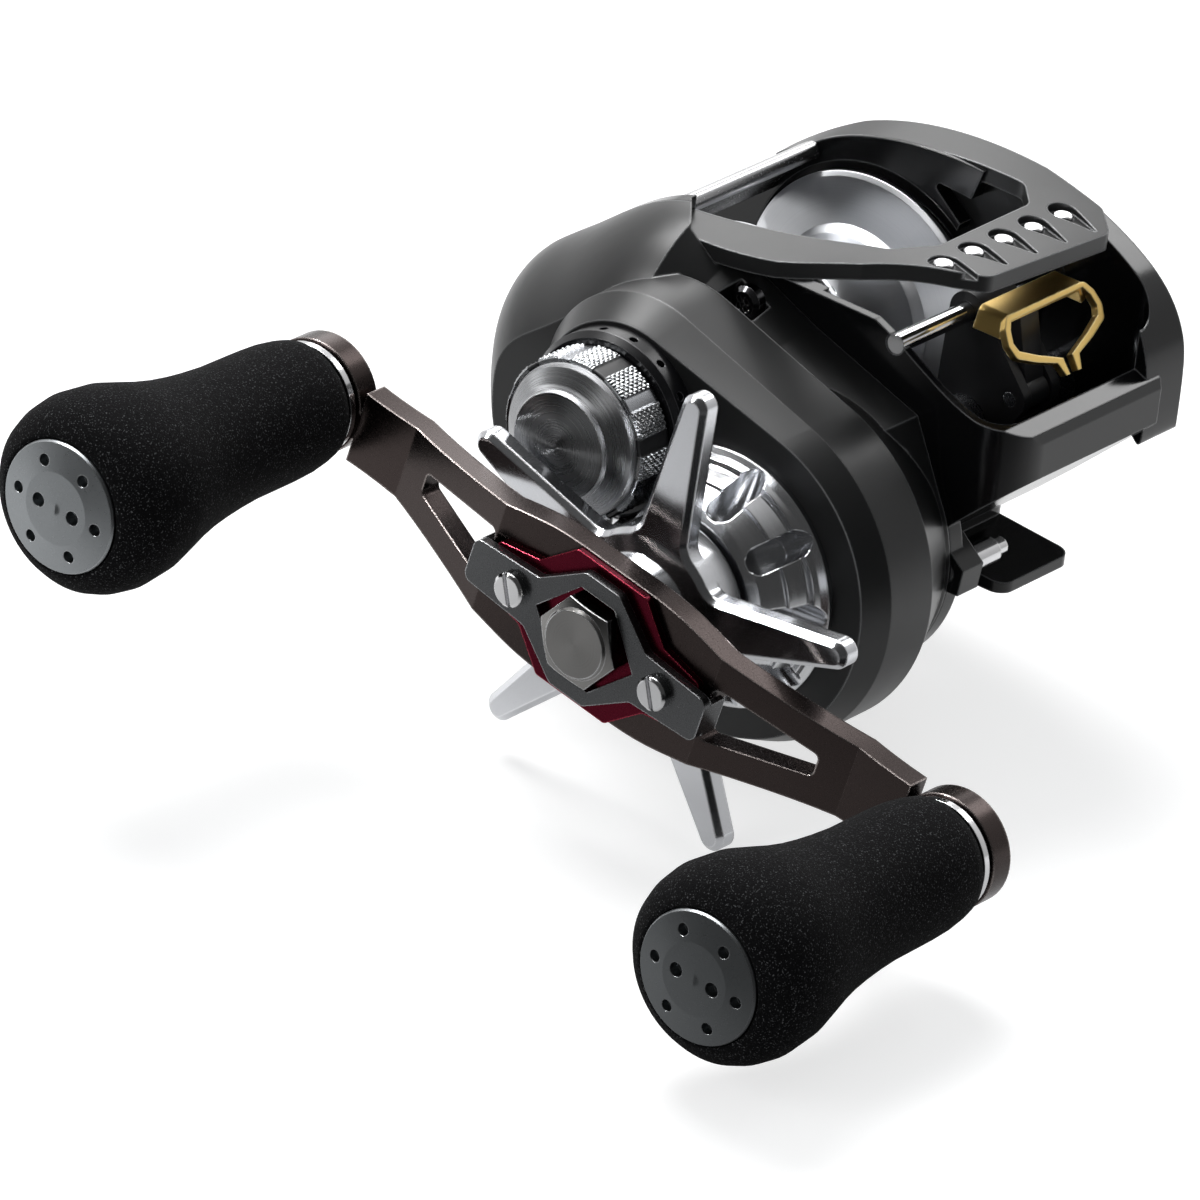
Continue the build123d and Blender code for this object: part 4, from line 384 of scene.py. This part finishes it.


# ---------------------------------------------------------------- materials, one for each slot of the record
# colours of the painted highlight along metal edges
HIGHLIGHT_GREY = (0.82, 0.83, 0.85)
HIGHLIGHT_WHITE = (0.95, 0.95, 0.97)
# in each finish the second colour is the painted highlight along its edges
MATERIALS = {
    "frame_black": painted("frame_black", (0.0028, 0.0029, 0.0032), (0.12, 0.122, 0.125),
                           metallic=0.0, rough=0.14, edge_mm=0.35, specular=0.36),
    "hood_grey": painted("hood_grey", (0.015, 0.0152, 0.0156), (0.32, 0.325, 0.33),
                         metallic=0.2, rough=0.30, edge_mm=0.35, flake=0.15, specular=0.40),
    "cover_graphite": painted("cover_graphite", (0.010, 0.0102, 0.0105), (0.24, 0.243, 0.246),
                              metallic=0.15, rough=0.32, edge_mm=0.4, flake=0.12, specular=0.42),
    "collar_black": painted("collar_black", (0.006, 0.006, 0.007), (0.10, 0.10, 0.105),
                            metallic=0.3, rough=0.26, edge_mm=0.2),
    "polished_steel": satin_metal("polished_steel", (0.70, 0.70, 0.71), HIGHLIGHT_GREY, rough=0.12, edge_mm=0.2),
    "satin_steel": satin_metal("satin_steel", (0.36, 0.37, 0.39), HIGHLIGHT_GREY, rough=0.26, edge_mm=0.15),
    "bright_alloy": satin_metal("bright_alloy", (0.70, 0.71, 0.735), HIGHLIGHT_WHITE, rough=0.17, edge_mm=0.35),
    "dark_steel": satin_metal("dark_steel", (0.24, 0.243, 0.25), HIGHLIGHT_GREY, rough=0.28, edge_mm=0.2,
                              aniso=0.95, axis=SPOOL),
    "knurl_steel": satin_metal("knurl_steel", (0.30, 0.31, 0.32), HIGHLIGHT_GREY, rough=0.20, edge_mm=0.1),
    "spool_gunmetal": satin_metal("spool_gunmetal", (0.60, 0.61, 0.63), HIGHLIGHT_GREY, rough=0.36, edge_mm=0.2,
                                  aniso=0.9, axis=SPOOL),
    "gold_guide": satin_metal("gold_guide", (1.0, 0.70, 0.24), (1.0, 0.84, 0.46), rough=0.34, edge_mm=0.3),
    "arm_bronze": satin_metal("arm_bronze", (0.050, 0.039, 0.037), (0.55, 0.49, 0.47),
                              rough=0.25, edge_mm=0.35),
    "plate_burgundy": satin_metal("plate_burgundy", (0.085, 0.005, 0.014), (0.80, 0.09, 0.15),
                                  rough=0.26, edge_mm=0.25),
    "retainer_grey": satin_metal("retainer_grey", (0.095, 0.097, 0.10), (0.70, 0.71, 0.73),
                                 rough=0.28, edge_mm=0.25),
    "brass_gear": satin_metal("brass_gear", (0.62, 0.42, 0.16), (0.95, 0.75, 0.4), rough=0.3, edge_mm=0.1),
    "cap_gunmetal": satin_metal("cap_gunmetal", (0.30, 0.315, 0.325), (0.60, 0.62, 0.63),
                                rough=0.30, edge_mm=0.15),
    "eva_black": foam("eva_black", (0.003, 0.003, 0.0035), pore=(0.0012, 0.0012, 0.0014),
                      swell=(0.0055, 0.0055, 0.006), grain=(0.13, 0.133, 0.137)),
    "black_plastic": moulded("black_plastic", (0.010, 0.010, 0.011), rough=0.4),
    "drag_fibre": moulded("drag_fibre", (0.03, 0.03, 0.032), rough=0.8),
    "magnet_dark": moulded("magnet_dark", (0.06, 0.06, 0.065), rough=0.5),
}
# nodes that look unlike the rest of their slot: turned about their own shaft, or of another shade
# here too the second colour is the painted highlight along the edges
OWN_FINISH = {
    "handle_nut": satin_metal("nut_steel", (0.23, 0.226, 0.22), HIGHLIGHT_GREY, rough=0.22, edge_mm=0.25,
                              aniso=0.8, axis=DRIVE),
    "drag_ring": satin_metal("ring_alloy", (0.78, 0.79, 0.81), HIGHLIGHT_WHITE, rough=0.16, edge_mm=0.3,
                             aniso=0.6, axis=DRIVE),
    "gear_cover_screws": satin_metal("screw_dark", (0.10, 0.10, 0.105), (0.6, 0.6, 0.62),
                                     rough=0.2, edge_mm=0.15),
    "brake_dial": satin_metal("dial_dark", (0.09, 0.092, 0.095), (0.55, 0.56, 0.57), rough=0.28, edge_mm=0.25,
                              aniso=0.8, axis=SPOOL),
    "thumb_bar": satin_metal("thumb_chrome", (0.46, 0.46, 0.47), HIGHLIGHT_GREY, rough=0.24, edge_mm=0.3),
}
for part in frame["record"]["subparts"]:
    finishes = frame["nodes"][part["node"]].data.materials
    finishes.clear()
    finishes.append(OWN_FINISH.get(part["node"], MATERIALS[part["material_slot"]]))


# ---------------------------------------------------------------- pieces that are turned about a shaft
def skin_round(name, axis, rows, *materials):
    """Mesh round a shaft along X, which closes from its last row back to its first.

    A row is its X and its radius at each column, in millimetres. Faces run row by row, one for each column.
    """
    built = bmesh.new()
    loops = []
    for x, radii in rows:
        loop = []
        for k, radius in enumerate(radii):
            angle = math.tau * k / len(radii)
            y = axis[0] + radius * math.cos(angle)
            z = axis[1] + radius * math.sin(angle)
            loop.append(built.verts.new((x * MM, y * MM, z * MM)))
        loops.append(loop)
    for a, b in zip(loops, loops[1:] + loops[:1]):
        for k in range(len(a)):
            after = (k + 1) % len(a)
            built.faces.new((a[k], a[after], b[after], b[k]))
    bmesh.ops.recalc_face_normals(built, faces=built.faces)
    made = bpy.data.meshes.new(name)
    built.to_mesh(made)
    built.free()
    for material in materials:
        made.materials.append(material)
    return made


# the cast control's grip ring, in millimetres: knurled pads with plain flats between them
PADS = 12
PAD_SHARE = 0.64                            # of the way round the ring
KNURL_PITCH = 0.85
KNURL_DEEP = 0.26
FLAT_DEEP = 0.42
RING_WALL = 0.85
CHAMFER_DEEP = 0.45
CHAMFER_LONG = 0.35
RING_COLUMNS = 432
RING_ROWS = 32

ring_low, ring_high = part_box("cap_grip_ring")
ring_start, ring_end = ring_low.x / MM, ring_high.x / MM
ring_outer = (ring_high.y - ring_low.y) / 2 / MM


def zigzag(value):
    """Triangle wave: 0 at each whole number and 1 halfway between two."""
    return abs(2 * (value - math.floor(value + 0.5)))


def in_pad(column):
    return zigzag(PADS * (column % RING_COLUMNS) / RING_COLUMNS) < PAD_SHARE


def knurled_radius(x, column):
    """The ring's radius at a place along X and a column."""
    if not in_pad(column):
        return ring_outer - FLAT_DEEP
    along = math.tau * column / RING_COLUMNS * ring_outer / KNURL_PITCH
    across = x / KNURL_PITCH
    return ring_outer - KNURL_DEEP * (1 - min(zigzag(along + across), zigzag(along - across)))


wall_row = [ring_outer - RING_WALL] * RING_COLUMNS
chamfer_row = [ring_outer - CHAMFER_DEEP] * RING_COLUMNS
rows = [(ring_start, wall_row), (ring_start, chamfer_row)]
for k in range(RING_ROWS + 1):
    x = ring_start + CHAMFER_LONG + (ring_end - ring_start - 2 * CHAMFER_LONG) * k / RING_ROWS
    rows.append((x, [knurled_radius(x, column) for column in range(RING_COLUMNS)]))
rows += [(ring_end, chamfer_row), (ring_end, wall_row)]
mesh = skin_round("knurled_grip_ring", SPOOL, rows,
                  MATERIALS["knurl_steel"], MATERIALS["black_plastic"], MATERIALS["satin_steel"])
for face in mesh.polygons:
    column = face.index % RING_COLUMNS
    on_pad = in_pad(column) and in_pad(column + 1)
    dark_or_bright = 1 + round(PADS * column / RING_COLUMNS + 0.5) % 2      # the flats take turns
    face.material_index = 0 if on_pad else dark_or_bright
    face.use_smooth = not on_pad
knurled = bpy.data.objects.new("knurled_grip_ring", mesh)
scene.collection.objects.link(knurled)
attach(knurled, "cast_control")
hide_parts("cap_grip_ring")

# the foam grips: share of the way from the cap's rim to the inner end, and share of the fattest radius
GRIP = ((0.012, 0.715), (0.02, 0.76), (0.035, 0.845), (0.06, 0.92), (0.10, 0.972), (0.155, 1.0), (0.25, 0.968),
        (0.32, 0.90), (0.39, 0.83), (0.46, 0.775), (0.53, 0.737), (0.60, 0.71), (0.68, 0.69), (0.76, 0.688),
        (0.84, 0.685), (0.90, 0.675), (0.95, 0.65), (0.98, 0.625), (0.99, 0.58))
CAP_BORE, SPINDLE_BORE = 0.68, 0.42         # shares of the fattest radius
RIM_AHEAD = 0.5                             # of the CAD grip's outer end, millimetres
GRIP_COLUMNS = 72

for which in ("front", "rear"):
    low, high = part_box(f"{which}_knob_grip")
    length = (high.x - low.x) / MM + RIM_AHEAD
    fattest = (high.z - low.z) / 2 / MM
    stations = ((GRIP[0][0], CAP_BORE), *GRIP, (GRIP[-1][0], SPINDLE_BORE))
    rows = [(high.x / MM - length * (1 - share), [r * fattest] * GRIP_COLUMNS) for share, r in stations]
    mesh = skin_round(f"{which}_foam_grip", shaft(f"{which}_knob_turn"), rows, MATERIALS["eva_black"])
    for face in mesh.polygons:
        face.use_smooth = True
    grip = bpy.data.objects.new(f"{which}_foam_grip", mesh)
    scene.collection.objects.link(grip)
    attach(grip, f"{which}_knob")
    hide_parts(f"{which}_knob_grip")
